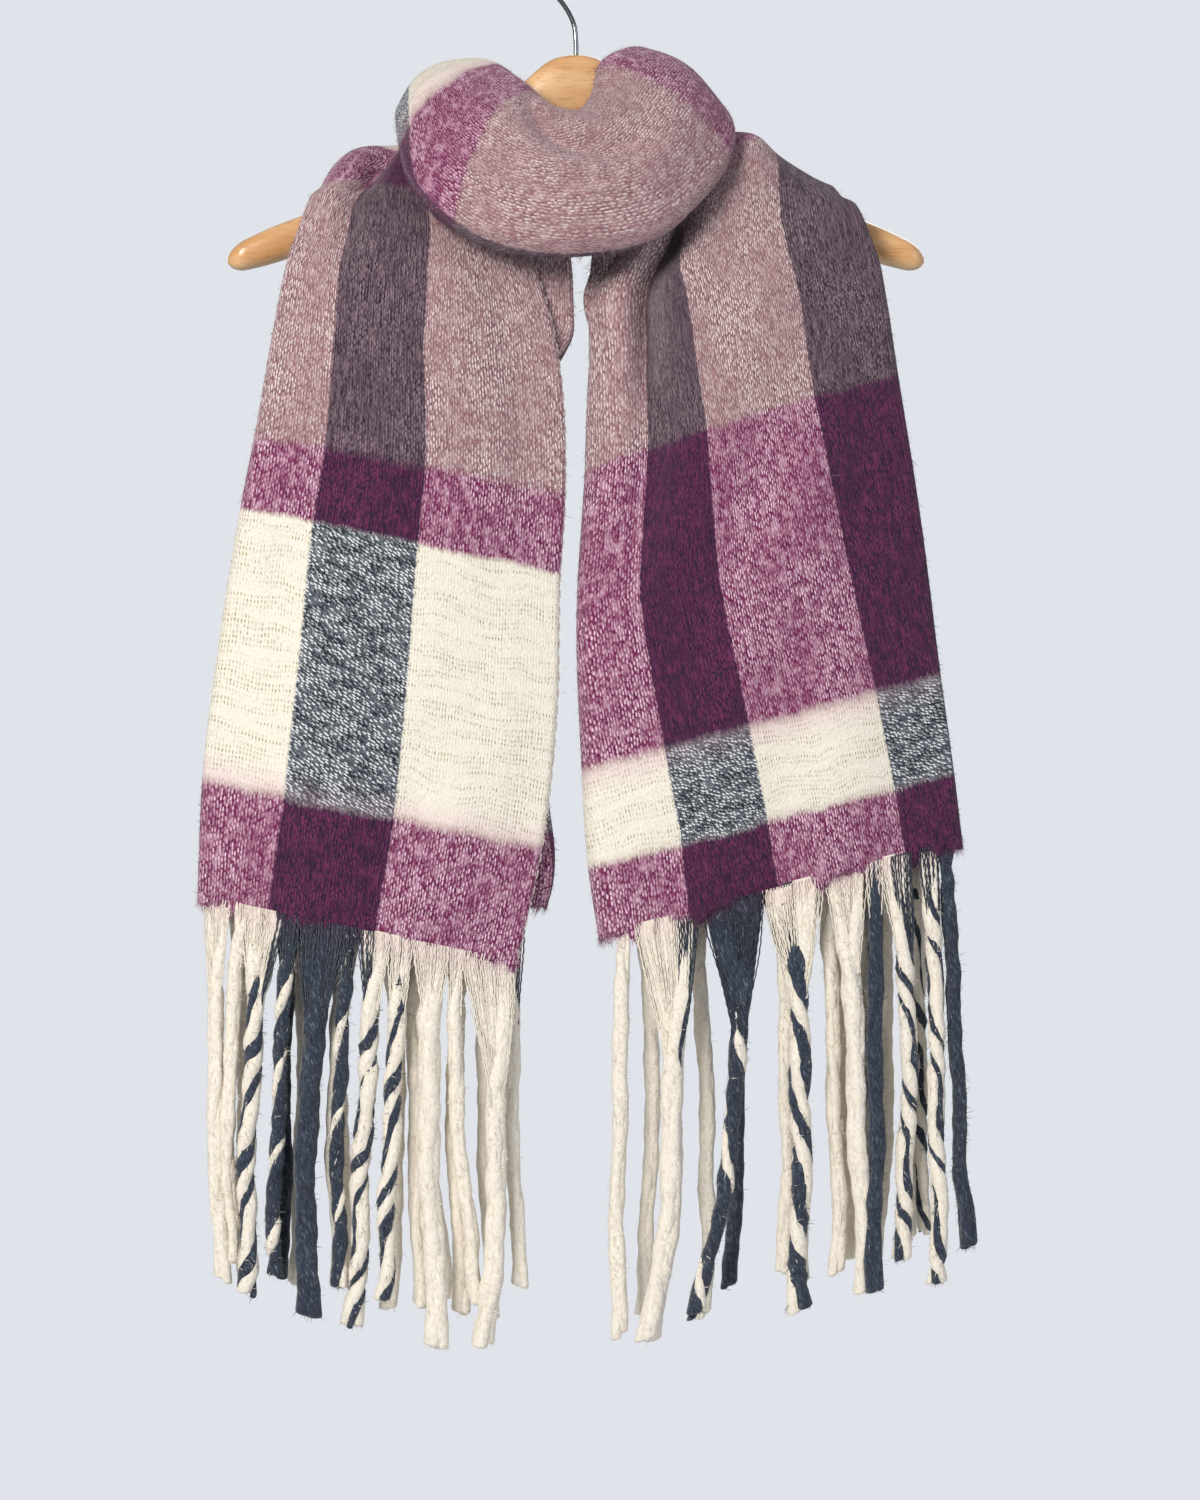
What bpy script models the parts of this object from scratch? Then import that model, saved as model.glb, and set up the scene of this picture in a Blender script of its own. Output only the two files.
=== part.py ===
"""Blanket scarf wound once round a wooden coat hanger, with both fringed ends hanging in front.

Millimetres in the tables and constants, metres in the meshes. +Z is up and the front faces -Y.
The origin is the underside of the hook's crown, where the rail carries the hanger.

The scarf is one woven length. It is folded lengthwise in three and then wound, so that each stretch of it
is a wall carried along a path: every table row gives the neck-side edge and the outer edge of the folded
scarf, and a section of three layers is laid between the two. The rows run along the scarf, from the hem of
the left end, behind the neck, round the front loop, behind the neck again, to the hem of the right end.
"""

import math
from collections import namedtuple

import bmesh
import bpy
import numpy as np

MM = 0.001                       # one millimetre in metres

# The cut
CREAM_STRIPE = 98.0              # width of each pale warp stripe
SLATE_STRIPE = 70.0              # width of each dark warp stripe
CLOTH_WIDTH = 4 * CREAM_STRIPE + 3 * SLATE_STRIPE
WALL = 3.0                       # the brushed cloth, nap pressed flat
SEAM_GAP = 0.6                   # between neighbouring pieces along the middle line, least at inner bends

# The hanger
WIRE_RADIUS = 1.6
HOOK_RADIUS = 20.0 + WIRE_RADIUS  # middle of the wire, round a 40 mm eye
CREST_Z = -70.0                  # top of the wood at its middle
HOLE_DEPTH = 18.0                # how far the wire stands in the wood
REST_GAP = 0.3                   # between the wood and the cloth or wire on it
HOLE_SIDES = 12
WOOD_SIDES = 14
WOOD_ROUNDING = 0.8              # 1 is an ellipse, less is squarer
HOOK_STEM = [                    # to the left of the middle, height above the wood's crest
    (0.0, -HOLE_DEPTH),
    (0.0, -6.0),
    (0.0, 8.0),
    (-1.2, 19.0),
    (-6.5, 30.0),
    (-14.0, 39.0),
]
EYE_FROM, EYE_TO = 192.0, -38.0  # degrees round the eye, from the stem to the wire's end
EYE_POINTS = 18
HOOK_POINTS = 40

# The fringe
STRIP_DEPTH = 5.0                # narrow strip that carries the strands
ROPE_SIZE = 9.0                  # width of a hanging strand
GATHER_DROP = 48.0               # a wide root has drawn together this far down
STRAND_RINGS = 7
RING_GROWTH = 1.25               # rings stand further apart towards the tip
TIP_SIZE = 0.55                  # of the strand's width, at its tip
CORNER_MARGIN = 4.0              # a corner of the hem this near a root is left out
LEAST_STEP = 0.4                 # between the strip's corners

Wood = namedtuple("Wood", "out top height thick")
WOOD_ROWS = [                    # distance from the middle, top edge, height, thickness
    Wood(0, CREST_Z, 46, 20),
    Wood(16, -73.6, 45, 20),
    Wood(32, -86.5, 42, 19),
    Wood(50, -105, 37, 18),
    Wood(72, -124, 32, 17),
    Wood(100, -141, 28, 17),
    Wood(132, -156, 26, 18),
    Wood(166, -170, 24, 20),
    Wood(196, -182, 22, 22),
    Wood(212, -190, 18, 21),
    Wood(219, -197, 8, 12),
]
ARM_FORWARD = 10.0               # the tips lie this far in front of the middle


def smooth_curve(knots, values, places):
    """Cubic through the knots whose slope at a knot is that of its two neighbours."""
    knots = np.asarray(knots, float)
    values = np.asarray(values, float)
    slopes = np.gradient(values, knots, axis=0)
    i = np.clip(np.searchsorted(knots, places, side="right") - 1, 0, len(knots) - 2)
    span = knots[i + 1] - knots[i]
    t = (places - knots[i]) / span
    if values.ndim > 1:
        t = t[:, None]
        span = span[:, None]
    return ((2 * t**3 - 3 * t**2 + 1) * values[i] + (t**3 - 2 * t**2 + t) * span * slopes[i]
            + (3 * t**2 - 2 * t**3) * values[i + 1] + (t**3 - t**2) * span * slopes[i + 1])


def arm_top(out):
    """Height of the wood's top edge at distances from the middle."""
    outs = [row.out for row in WOOD_ROWS]
    tops = [row.top for row in WOOD_ROWS]
    return smooth_curve(outs, tops, np.abs(np.atleast_1d(out)).astype(float))


def arm_middle(out):
    """Place of the wood's middle from front to back at a distance from the middle."""
    return -ARM_FORWARD * (out / WOOD_ROWS[-1].out) ** 2


# Rows of the scarf: neck-side edge, outer edge, how far the face bows out, distance between layers
Row = namedtuple("Row", "x0 y0 z0 x1 y1 z1 bow pitch")
SHOULDER_PITCH = 5.0
WRAP_RADIUS = 22.0               # of the cloth's face as it turns over an arm
LEFT_LAP = 8.5                   # how far the inner layers reach past the neck-side edge
RIGHT_LAP = 5.6


def on_arm(side, out_neck, out_outer, forward, bow):
    """Row across a hanger arm: three layers wrapped over the wood with a hair's gap at its crest."""
    lapped = LEFT_LAP if side < 0 else RIGHT_LAP
    outs = np.linspace(out_neck - lapped, out_outer + 2, 60)
    tops = arm_top(outs)
    top0, top1 = arm_top(out_neck)[0], arm_top(out_outer)[0]
    fall = (top1 - top0) / (out_outer - out_neck)
    proud = np.max(tops - (top0 + fall * (outs - out_neck)))
    stack = (2 * SHOULDER_PITCH + WALL / 2 + REST_GAP) * math.hypot(1, fall)
    lift = proud + stack - (WRAP_RADIUS - math.sqrt(WRAP_RADIUS**2 - forward**2))
    return Row(side * out_neck, forward + arm_middle(out_neck), top0 + lift,
               side * out_outer, forward + arm_middle(out_outer), top1 + lift, bow, SHOULDER_PITCH)


LEFT_END_ROWS = [                # from the hem up and over the shoulder to the nape
    Row(-37.5, -63, -645.6, -233.4, -56, -605.3, 9, 12),
    Row(-20.8, -64, -568.7, -230.3, -57, -527.2, 12, 11),
    Row(-11.5, -65, -483.0, -219.5, -59, -442.0, 14, 10),
    Row(-9.6, -65, -401.3, -206.1, -60, -359.8, 15, 10),
    Row(-6.5, -64, -352.3, -197.5, -60, -315.8, 15, 9),
    Row(-9.6, -61, -274.8, -186.3, -56, -248.8, 15, 8),
    Row(-18.9, -56, -230.2, -177.6, -48, -202.3, 13, 7),
    Row(-32.0, -48, -192.0, -170.5, -40, -181.0, 8, 6),
    Row(-47.0, -34, -151.0, -164.0, -30, -164.0, 5, 5.5),
    on_arm(-1, 62, 156, -17, -1),
    on_arm(-1, 65, 149, 0, -2),
    on_arm(-1, 63, 138, 13, -1),
    Row(-58.0, 27, -125.0, -121.0, 31, -160.0, 2, 5),
    Row(-46.0, 44, -110.0, -96.0, 52, -168.0, 4, 5),
]
NECK_BACK_INNER_ROWS = [         # behind the neck, from the left shoulder to the right
    Row(-20.0, 58, -96.0, -40.0, 72, -160.0, 5, 5),
    Row(16.0, 58, -86.0, 26.0, 70, -140.0, 5, 5),
    Row(42.0, 36, -73.0, 70.0, 39, -106.0, 5, 5),
]
NECK_LOOP_ROWS = [               # from the right of the nape round the front to the left of the nape
    Row(41.0, 12, -66.0, 86.0, 12, -100.0, 6, 5),
    Row(35.0, -8, -66.0, 95.5, -13, -108.5, 9, 5.5),
    Row(20.0, -30, -74.0, 99.0, -41, -132.0, 15, 8),
    Row(11.0, -48, -99.0, 73.0, -76, -173.0, 18, 11),
    Row(4.0, -58, -110.0, 49.0, -88, -194.0, 19, 12),
    Row(-4.0, -62, -113.0, 2.0, -94, -204.5, 20, 12),
    Row(-13.0, -60, -110.0, -44.0, -92, -201.0, 19, 12),
    Row(-24.0, -50, -99.0, -79.0, -80, -184.0, 18, 11),
    Row(-35.0, -34, -88.5, -103.0, -58, -157.0, 15, 9),
    Row(-48.0, -12, -79.0, -111.5, -31, -124.0, 12, 6.5),
    Row(-55.0, 12, -77.0, -107.0, 6, -109.5, 9, 5.5),
    Row(-54.0, 42, -80.0, -92.0, 46, -118.0, 6, 5),
]
NECK_BACK_OUTER_ROWS = [         # behind the neck on the outside, from the left side to the right
    Row(-44.0, 80, -83.0, -76.0, 96, -138.0, 6, 5),
    Row(-12.0, 98, -88.0, -24.0, 117, -156.0, 7, 5.5),
    Row(22.0, 97, -96.0, 34.0, 117, -167.0, 7, 5.5),
    Row(50.0, 80, -106.0, 84.0, 100, -175.0, 6, 5),
    Row(64.0, 54, -116.0, 114.0, 68, -174.0, 4, 5),
]
RIGHT_END_ROWS = [               # over the shoulder and down to the hem
    Row(66.0, 30, -129.0, 140.0, 36, -168.0, 2, 5),
    on_arm(1, 65, 154, 13, -1),
    on_arm(1, 65, 162, 0, -2),
    on_arm(1, 62, 167, -17, -1),
    Row(49.0, -33, -150.0, 174.0, -30, -168.0, 5, 5.5),
    Row(34.0, -46, -190.0, 181.0, -41, -184.0, 8, 6),
    Row(13.3, -53, -222.0, 186.9, -48, -202.0, 12, 7),
    Row(9.0, -58, -270.5, 191.3, -55, -228.0, 14, 8),
    Row(6.5, -61, -335.6, 198.7, -60, -277.3, 15, 9),
    Row(1.6, -62, -428.6, 213.0, -61, -370.0, 15, 10),
    Row(4.7, -61, -519.1, 224.8, -60, -460.8, 13, 11),
    Row(8.4, -60, -578.6, 232.8, -59, -519.1, 12, 11),
    Row(15.8, -58, -628.9, 239.0, -58, -570.0, 9, 12),
]

# A layer runs across the folded scarf between two fractions of its width, on one of three levels,
# level 0 being the face. 'steps' is how many flat strips it has, 'cloth' where it ends on the cut.
Layer = namedtuple("Layer", "start end level steps cloth")
LEFT_FOLD = [                    # the neck-side selvedge lies in front, the rest folds behind it twice
    Layer(0.0, 1.0, 0, 14, 216),
    Layer(1.0, -0.03, 1, 7, 438),
    Layer(-0.03, 0.75, 2, 5, CLOTH_WIDTH),
]
RIGHT_FOLD = [                   # both sides turn behind the face and lap over each other
    Layer(0.95, 0.0, 2, 7, 224),
    Layer(0.0, 1.0, 0, 16, 483),
    Layer(1.0, 0.45, 1, 4, CLOTH_WIDTH),
]
LOOP_FOLD = [
    Layer(0.72, 0.0, 2, 6, 322),
    Layer(0.0, 1.0, 0, 12, 446),
    Layer(1.0, 0.28, 1, 4, CLOTH_WIDTH),
]
BACK_FOLD = [
    Layer(0.9, 0.0, 2, 4, 280),
    Layer(0.0, 1.0, 0, 8, 460),
    Layer(1.0, 0.35, 1, 3, CLOTH_WIDTH),
]
TURN_STEPS = 4                   # flat strips round each turned edge
BEND_WEIGHT = 45.0               # one radian of bend earns as many stations as this many millimetres
FINE_STEPS = 400                 # places along a stretch where its bend is read
SHARPEST_CORNER = 0.8            # least reach of a corner's mitre, as a share of the wall

# Grooves pressed into the face: station and fraction across at both ends, depth, half-width
Groove = namedtuple("Groove", "along0 along1 across0 across1 depth half_width")
GROOVES = {
    "right_end": [Groove(0.26, 0.56, 0.24, 0.28, 9, 15), Groove(0.72, 1.0, 0.52, 0.50, 5, 20)],
    "left_end": [Groove(0.0, 0.30, 0.42, 0.46, 5, 20), Groove(0.58, 0.80, 0.55, 0.62, 4, 18)],
    "neck_loop": [Groove(0.44, 0.58, 0.22, 0.34, 8, 15)],
}


class Path:
    """The whole scarf's rows as smooth curves, and the stations of one stretch of it."""

    def __init__(self, rows):
        self.table = np.array(rows, float)
        self.middles = (self.table[:, 0:3] + self.table[:, 3:6]) / 2
        self.knots = np.concatenate([[0], np.cumsum(np.linalg.norm(np.diff(self.middles, axis=0), axis=1))])

    def direction(self, places):
        """Unit direction of the middle line."""
        step = 1.0
        ahead = smooth_curve(self.knots, self.middles, np.minimum(places + step, self.knots[-1]))
        behind = smooth_curve(self.knots, self.middles, np.maximum(places - step, 0))
        return (ahead - behind) / np.linalg.norm(ahead - behind, axis=1)[:, None]

    def stations(self, first, last, count):
        """Places from one row to another, closer together where the path bends."""
        fine = np.linspace(self.knots[first] + SEAM_GAP / 2, self.knots[last] - SEAM_GAP / 2, FINE_STEPS)
        turns = np.linalg.norm(np.diff(self.direction(fine), axis=0), axis=1)
        effort = np.concatenate([[0], np.cumsum(np.diff(fine) + BEND_WEIGHT * turns)])
        return np.interp(np.linspace(0, effort[-1], count), effort, fine)

    def frames(self, places):
        """Neck-side edge, outer edge, bow, pitch and outward direction at places along the scarf."""
        made = smooth_curve(self.knots, self.table, places)
        neck, outer = made[:, 0:3], made[:, 3:6]
        outward = np.cross(self.direction(places), outer - neck)
        outward /= np.linalg.norm(outward, axis=1)[:, None]
        return neck, outer, made[:, 6], made[:, 7], outward


def section(layers, width, pitch):
    """Places across the folded scarf and depths below its face, with the cloth measure of each.

    Layers are straight runs. Half ellipses join them, whose outermost point is the edge.
    """
    across, depth, cloth = [], [], []
    measure = 0.0
    for k, layer in enumerate(layers):
        toward = 1 if layer.end > layer.start else -1
        level = layer.level * pitch
        start, end = layer.start * width, layer.end * width
        if k > 0:
            start += toward * abs(layer.level - layers[k - 1].level) * pitch / 2
        turn = abs(layers[k + 1].level - layer.level) * pitch / 2 if k + 1 < len(layers) else 0.0
        end -= toward * turn
        run = np.linspace(start, end, layer.steps + 1)
        across += list(run)
        depth += [level] * len(run)
        cloth += list(np.linspace(measure, layer.cloth, len(run)))
        measure = layer.cloth
        if turn:
            angles = np.linspace(0, math.pi, TURN_STEPS + 1)[1:-1]
            next_level = layers[k + 1].level * pitch
            across += list(end + toward * turn * np.sin(angles))
            depth += list(level + (next_level - level) * (1 - np.cos(angles)) / 2)
            cloth += [measure] * len(angles)
    return np.array(across), np.array(depth), np.array(cloth)


def side_directions(across, lift):
    """Unit directions square to a section, lengthened at its corners to keep the wall's thickness."""
    runs = np.stack([np.diff(across), np.diff(lift)], axis=1)
    runs /= np.linalg.norm(runs, axis=1)[:, None]
    square = np.stack([-runs[:, 1], runs[:, 0]], axis=1)
    summed = np.concatenate([square[:1], square[:-1] + square[1:], square[-1:]])
    summed /= np.linalg.norm(summed, axis=1)[:, None]
    reach = np.sum(summed * np.concatenate([square[:1], square]), axis=1)
    return summed / np.maximum(reach, SHARPEST_CORNER)[:, None]


def wall_points(path, places, layers, grooves):
    """Both sides of a stretch's wall: a row of points for each station, a column for each place across.

    The wall's thickness is laid off square to the section, in the section's own plane.
    """
    neck, outer, bow, pitch, outward = path.frames(places)
    shares = (places - places[0]) / (places[-1] - places[0])
    sides = ([], [])
    for i, share_along in enumerate(shares):
        width = np.linalg.norm(outer[i] - neck[i])
        toward_outer = (outer[i] - neck[i]) / width
        across, depth, _ = section(layers, width, pitch[i])
        lift = bow[i] * np.sin(math.pi * np.clip(across / width, 0, 1)) - depth
        for groove in grooves:
            share = (share_along - groove.along0) / (groove.along1 - groove.along0)
            if 0 <= share <= 1:
                line = groove.across0 + share * (groove.across1 - groove.across0)
                away = (across - line * width) / groove.half_width
                lift -= groove.depth * math.sin(math.pi * share) * np.exp(-away**2)
        square = side_directions(across, lift) * WALL / 2
        for side, grid in zip((1, -1), sides):
            grid.append(neck[i] + (across + side * square[:, 0])[:, None] * toward_outer
                        + (lift + side * square[:, 1])[:, None] * outward[i])
    return np.array(sides[0]), np.array(sides[1])


def finish(name, colour, roughness, metallic):
    """A plain material of one colour for a sub-part."""
    material = bpy.data.materials.new(name + "_finish")
    material.use_nodes = True
    shader = material.node_tree.nodes["Principled BSDF"]
    shader.inputs["Base Color"].default_value = (*colour, 1)
    shader.inputs["Roughness"].default_value = roughness
    shader.inputs["Metallic"].default_value = metallic
    return material


def add_object(name, points, faces, colour, roughness=0.9, metallic=0.0):
    """One closed mesh object in metres from points in millimetres, its faces turned outwards."""
    mesh = bpy.data.meshes.new(name)
    mesh.from_pydata((np.asarray(points) * MM).tolist(), [], faces)
    shape = bmesh.new()
    shape.from_mesh(mesh)
    bmesh.ops.recalc_face_normals(shape, faces=shape.faces)
    shape.to_mesh(mesh)
    shape.free()
    mesh.materials.append(finish(name, colour, roughness, metallic))
    mesh.shade_smooth()
    made = bpy.data.objects.new(name, mesh)
    bpy.context.scene.collection.objects.link(made)
    return made


def wall_faces(rows, columns):
    """Quads of a closed wall whose two grids of points are numbered one after the other."""
    def at(side, i, j):
        return (side * rows + i) * columns + j

    faces = []
    for i in range(rows - 1):
        for j in range(columns - 1):
            faces.append((at(0, i, j), at(0, i + 1, j), at(0, i + 1, j + 1), at(0, i, j + 1)))
            faces.append((at(1, i, j), at(1, i, j + 1), at(1, i + 1, j + 1), at(1, i + 1, j)))
    for j in range(columns - 1):
        for i in (0, rows - 1):
            faces.append((at(0, i, j), at(0, i, j + 1), at(1, i, j + 1), at(1, i, j)))
    for i in range(rows - 1):
        for j in (0, columns - 1):
            faces.append((at(0, i, j), at(0, i + 1, j), at(1, i + 1, j), at(1, i, j)))
    return faces


def add_stretch(path, name, first, last, layers, count, colour):
    """One stretch of the scarf as a closed wall between two rows of the path."""
    places = path.stations(first, last, count)
    face, back = wall_points(path, places, layers, GROOVES.get(name, []))
    points = np.concatenate([face.reshape(-1, 3), back.reshape(-1, 3)])
    return add_object(name, points, wall_faces(*face.shape[:2]), colour)


# Strands: place on the cut, width of the root, sideways drift halfway and at the tip, length,
# and how far the tip lies towards the front
Strand = namedtuple("Strand", "cloth root drift_mid drift_tip drop forward")
LEFT_STRANDS = [
    Strand(19, 30, 6, -5, 233, 4),
    Strand(41, 9, -2, 11, 212, -2),
    Strand(58, 18, -1, 3, 241, 3),
    Strand(80, 12, -5, -8, 216, 5),
    Strand(99, 14, -2, -14, 238, 0),
    Strand(133, 28, -9, -9, 236, 3),
    Strand(173, 26, -8, -11, 232, 3),
    Strand(204, 14, 4, 4, 228, 0),
    Strand(238, 16, 3, 3, 226, -1),
    Strand(274, 18, -6, -8, 220, -2),
    Strand(317, 18, -8, -4, 216, 0),
    Strand(362, 18, 4, 6, 222, -1),
    Strand(398, 18, -3, 2, 219, 1),
    Strand(428, 14, 3, 4, 226, 0),
    Strand(462, 18, 4, 8, 222, -4),
    Strand(492, 18, -4, 2, 214, -5),
    Strand(524, 18, 3, -3, 226, -4),
    Strand(556, 18, -4, 2, 218, -5),
    Strand(588, 18, 2, -4, 224, -4),
]
RIGHT_STRANDS = [
    Strand(590, 18, -3, -7, 232, 0),
    Strand(563, 16, 3, 4, 240, 0),
    Strand(536, 16, -3, 3, 236, 0),
    Strand(508, 18, 4, 8, 230, 0),
    Strand(477, 8, 2, 7, 243, 0),
    Strand(462, 12, -2, -4, 262, 5),
    Strand(440, 20, 6, -2, 242, 2),
    Strand(419, 10, 4, 3, 258, 5),
    Strand(399, 22, 6, 10, 252, -1),
    Strand(360, 34, 6, 2, 256, 3),
    Strand(319, 32, -3, -28, 250, 3),
    Strand(267, 38, 5, -10, 254, 3),
    Strand(233, 10, 4, 4, 245, 2),
    Strand(205, 16, -4, 3, 240, -2),
    Strand(172, 18, 3, 8, 248, -3),
    Strand(138, 18, -3, -6, 238, -2),
    Strand(104, 18, 3, 4, 244, -3),
    Strand(72, 18, -3, 3, 236, -2),
    Strand(42, 18, 3, -3, 246, -3),
    Strand(14, 16, -2, -6, 238, -2),
]


def hem_curve(path, at_start, layers, drop):
    """Section of a hem moved down by a drop, with its cloth measure and the downward direction."""
    place = np.array([0.0 if at_start else path.knots[-1]])
    neck, outer, bow, pitch, outward = (values[0] for values in path.frames(place))
    downward = path.direction(place)[0] * (-1 if at_start else 1)
    width = np.linalg.norm(outer - neck)
    toward_outer = (outer - neck) / width
    across, depth, cloth = section(layers, width, pitch)
    lift = bow * np.sin(math.pi * np.clip(across / width, 0, 1)) - depth
    points = neck + across[:, None] * toward_outer + lift[:, None] * outward
    return points + downward * drop, cloth, downward


def strip_places(cloth, strands):
    """Cloth measures of the strip's corners: both sides of every root, and the hem's own corners."""
    roots = sorted((s.cloth - s.root / 2, s.cloth + s.root / 2) for s in strands)
    places = [edge for root in roots for edge in root]
    for value in cloth:
        if all(not low - CORNER_MARGIN < value < high + CORNER_MARGIN for low, high in roots):
            places.append(float(value))
    return sorted(places)


def add_fringe(path, name, at_start, layers, strands, colour):
    """A strip under the hem whose lower edge runs out into four-sided strands, as one closed mesh."""
    hem, cloth, downward = hem_curve(path, at_start, layers, SEAM_GAP / 2)
    lengths = np.concatenate([[0], np.cumsum(np.linalg.norm(np.diff(hem, axis=0), axis=1))])
    measure = cloth + np.linspace(0, 1e-3, len(cloth))
    places = strip_places(cloth, strands)
    turned = [lengths[k] for k in range(1, len(cloth)) if cloth[k] == cloth[k - 1]]
    stops = np.array(sorted(set(np.interp(places, measure, lengths)) | set(turned)))
    stops = stops[np.concatenate([[True], np.diff(stops) > LEAST_STEP])]
    top = np.array([np.interp(stops, lengths, hem[:, axis]) for axis in range(3)]).T
    tangent = np.gradient(top, axis=0)
    side = np.cross(tangent, downward)
    side *= WALL / 2 / np.linalg.norm(side, axis=1)[:, None]
    bottom = top + downward * STRIP_DEPTH
    count = len(stops)
    points = np.concatenate([top + side, top - side, bottom + side, bottom - side])
    a, b, c, d = 0, count, 2 * count, 3 * count
    faces = [(a, b, d, c), (a + count - 1, c + count - 1, d + count - 1, b + count - 1)]
    root_of = {}
    for strand in strands:
        low, high = np.interp([strand.cloth - strand.root / 2, strand.cloth + strand.root / 2],
                              measure, lengths)
        root_of[int(np.argmin(abs(stops - low)))] = (int(np.argmin(abs(stops - high))), strand)
    points = list(points)
    j = 0
    while j < count - 1:
        faces.append((a + j, a + j + 1, b + j + 1, b + j))
        faces.append((a + j, c + j, c + j + 1, a + j + 1))
        faces.append((b + j, b + j + 1, d + j + 1, d + j))
        if j in root_of:
            ring = [c + j, c + j + 1, d + j + 1, d + j]
            add_strand(points, faces, ring, root_of[j][1])
        else:
            faces.append((c + j, d + j, d + j + 1, c + j + 1))
        j += 1
    return add_object(name, points, faces, colour)


def add_strand(points, faces, ring, strand):
    """Rings of four corners from a root quad down to the tip; the root draws together into a rope."""
    root = np.array([points[k] for k in ring])
    centre = root.mean(axis=0)
    corners = root - centre
    half = ROPE_SIZE / 2
    wide = corners[1] - corners[0]
    wide /= np.linalg.norm(wide)
    deep = np.cross(wide, (0, 0, 1))
    deep /= np.linalg.norm(deep)
    if np.dot(corners[0], deep) < 0:
        deep = -deep
    rope = np.array([-wide * half + deep * half, wide * half + deep * half,
                     wide * half - deep * half, -wide * half - deep * half])
    rope[:, 2] = 0
    for k in range(1, STRAND_RINGS + 1):
        share = (k / STRAND_RINGS) ** RING_GROWTH
        drop = strand.drop * share
        drawn = min(drop / GATHER_DROP, 1.0)
        drawn = drawn * drawn * (3 - 2 * drawn)
        drift = (4 * share * (1 - share) * strand.drift_mid
                 + share * (2 * share - 1) * strand.drift_tip)
        taper = 1.0 if k < STRAND_RINGS else TIP_SIZE
        place = centre + np.array([drift, -strand.forward * share, -drop])
        shape = corners * (1 - drawn) + rope * drawn
        start = len(points)
        points += list(place + shape * taper)
        new = list(range(start, start + 4))
        for m in range(4):
            n = (m + 1) % 4
            faces.append((ring[m], new[m], new[n], ring[n]))
        ring = new
    faces.append(tuple(ring))


def add_wood():
    """Contoured hanger body: rounded sections along x, drawn in at the tips, with a hole for the wire."""
    outs = [row.out for row in WOOD_ROWS]
    stations = sorted({-value for value in outs} | set(outs))
    angles = np.arange(WOOD_SIDES) * 2 * math.pi / WOOD_SIDES
    table = {row.out: row for row in WOOD_ROWS}
    points = []
    for station in stations:
        row = table[abs(station)]
        forward = arm_middle(station)
        round_y = np.sign(np.cos(angles)) * abs(np.cos(angles)) ** WOOD_ROUNDING * row.thick / 2
        round_z = np.sign(np.sin(angles)) * abs(np.sin(angles)) ** WOOD_ROUNDING * row.height / 2
        points += [(station, forward + y, row.top - row.height / 2 + z) for y, z in zip(round_y, round_z)]
    rings = np.arange(len(points)).reshape(-1, WOOD_SIDES)
    faces = [tuple(rings[0]), tuple(rings[-1])]
    for ring, following in zip(rings, rings[1:]):
        faces += list(zip(ring, np.roll(ring, -1), np.roll(following, -1), following))
    wood = add_object("hanger_wood", points, faces, (0.62, 0.36, 0.16), 0.35)
    bpy.ops.mesh.primitive_cylinder_add(
        vertices=HOLE_SIDES, radius=(WIRE_RADIUS + REST_GAP) * MM, depth=2 * (HOLE_DEPTH + REST_GAP) * MM,
        location=(0, 0, CREST_Z * MM))
    hole = bpy.context.object
    hole.name = "wire_hole"
    hole.hide_render = True
    hole.display_type = "WIRE"
    cut = wood.modifiers.new("hole", "BOOLEAN")
    cut.operation = "DIFFERENCE"
    cut.object = hole
    return wood


def add_hook():
    """Wire from its hole in the wood, out to the left and round the eye to a rounded end."""
    centre = np.array([0.0, 0.0, -HOOK_RADIUS + WIRE_RADIUS])
    angles = np.radians(np.linspace(EYE_FROM, EYE_TO, EYE_POINTS))
    path = [(x, 0.0, CREST_Z + z) for x, z in HOOK_STEM]
    path += [tuple(centre + HOOK_RADIUS * np.array([math.cos(t), 0, math.sin(t)])) for t in angles]
    steps = np.linalg.norm(np.diff(np.array(path), axis=0), axis=1)
    knots = np.concatenate([[0], np.cumsum(steps)])
    places = np.linspace(0, knots[-1], HOOK_POINTS)
    smooth = smooth_curve(knots, np.array(path), places)
    curve = bpy.data.curves.new("hook", "CURVE")
    curve.dimensions = "3D"
    curve.bevel_depth = WIRE_RADIUS * MM
    curve.bevel_resolution = 2
    curve.use_fill_caps = True
    spline = curve.splines.new("POLY")
    spline.points.add(len(smooth) - 1)
    for point, place in zip(spline.points, smooth):
        point.co = (*(place * MM), 1)
    curve.materials.append(finish("hook", (0.75, 0.76, 0.78), 0.15, 1.0))
    hook = bpy.data.objects.new("hook", curve)
    bpy.context.scene.collection.objects.link(hook)
    return hook


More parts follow.
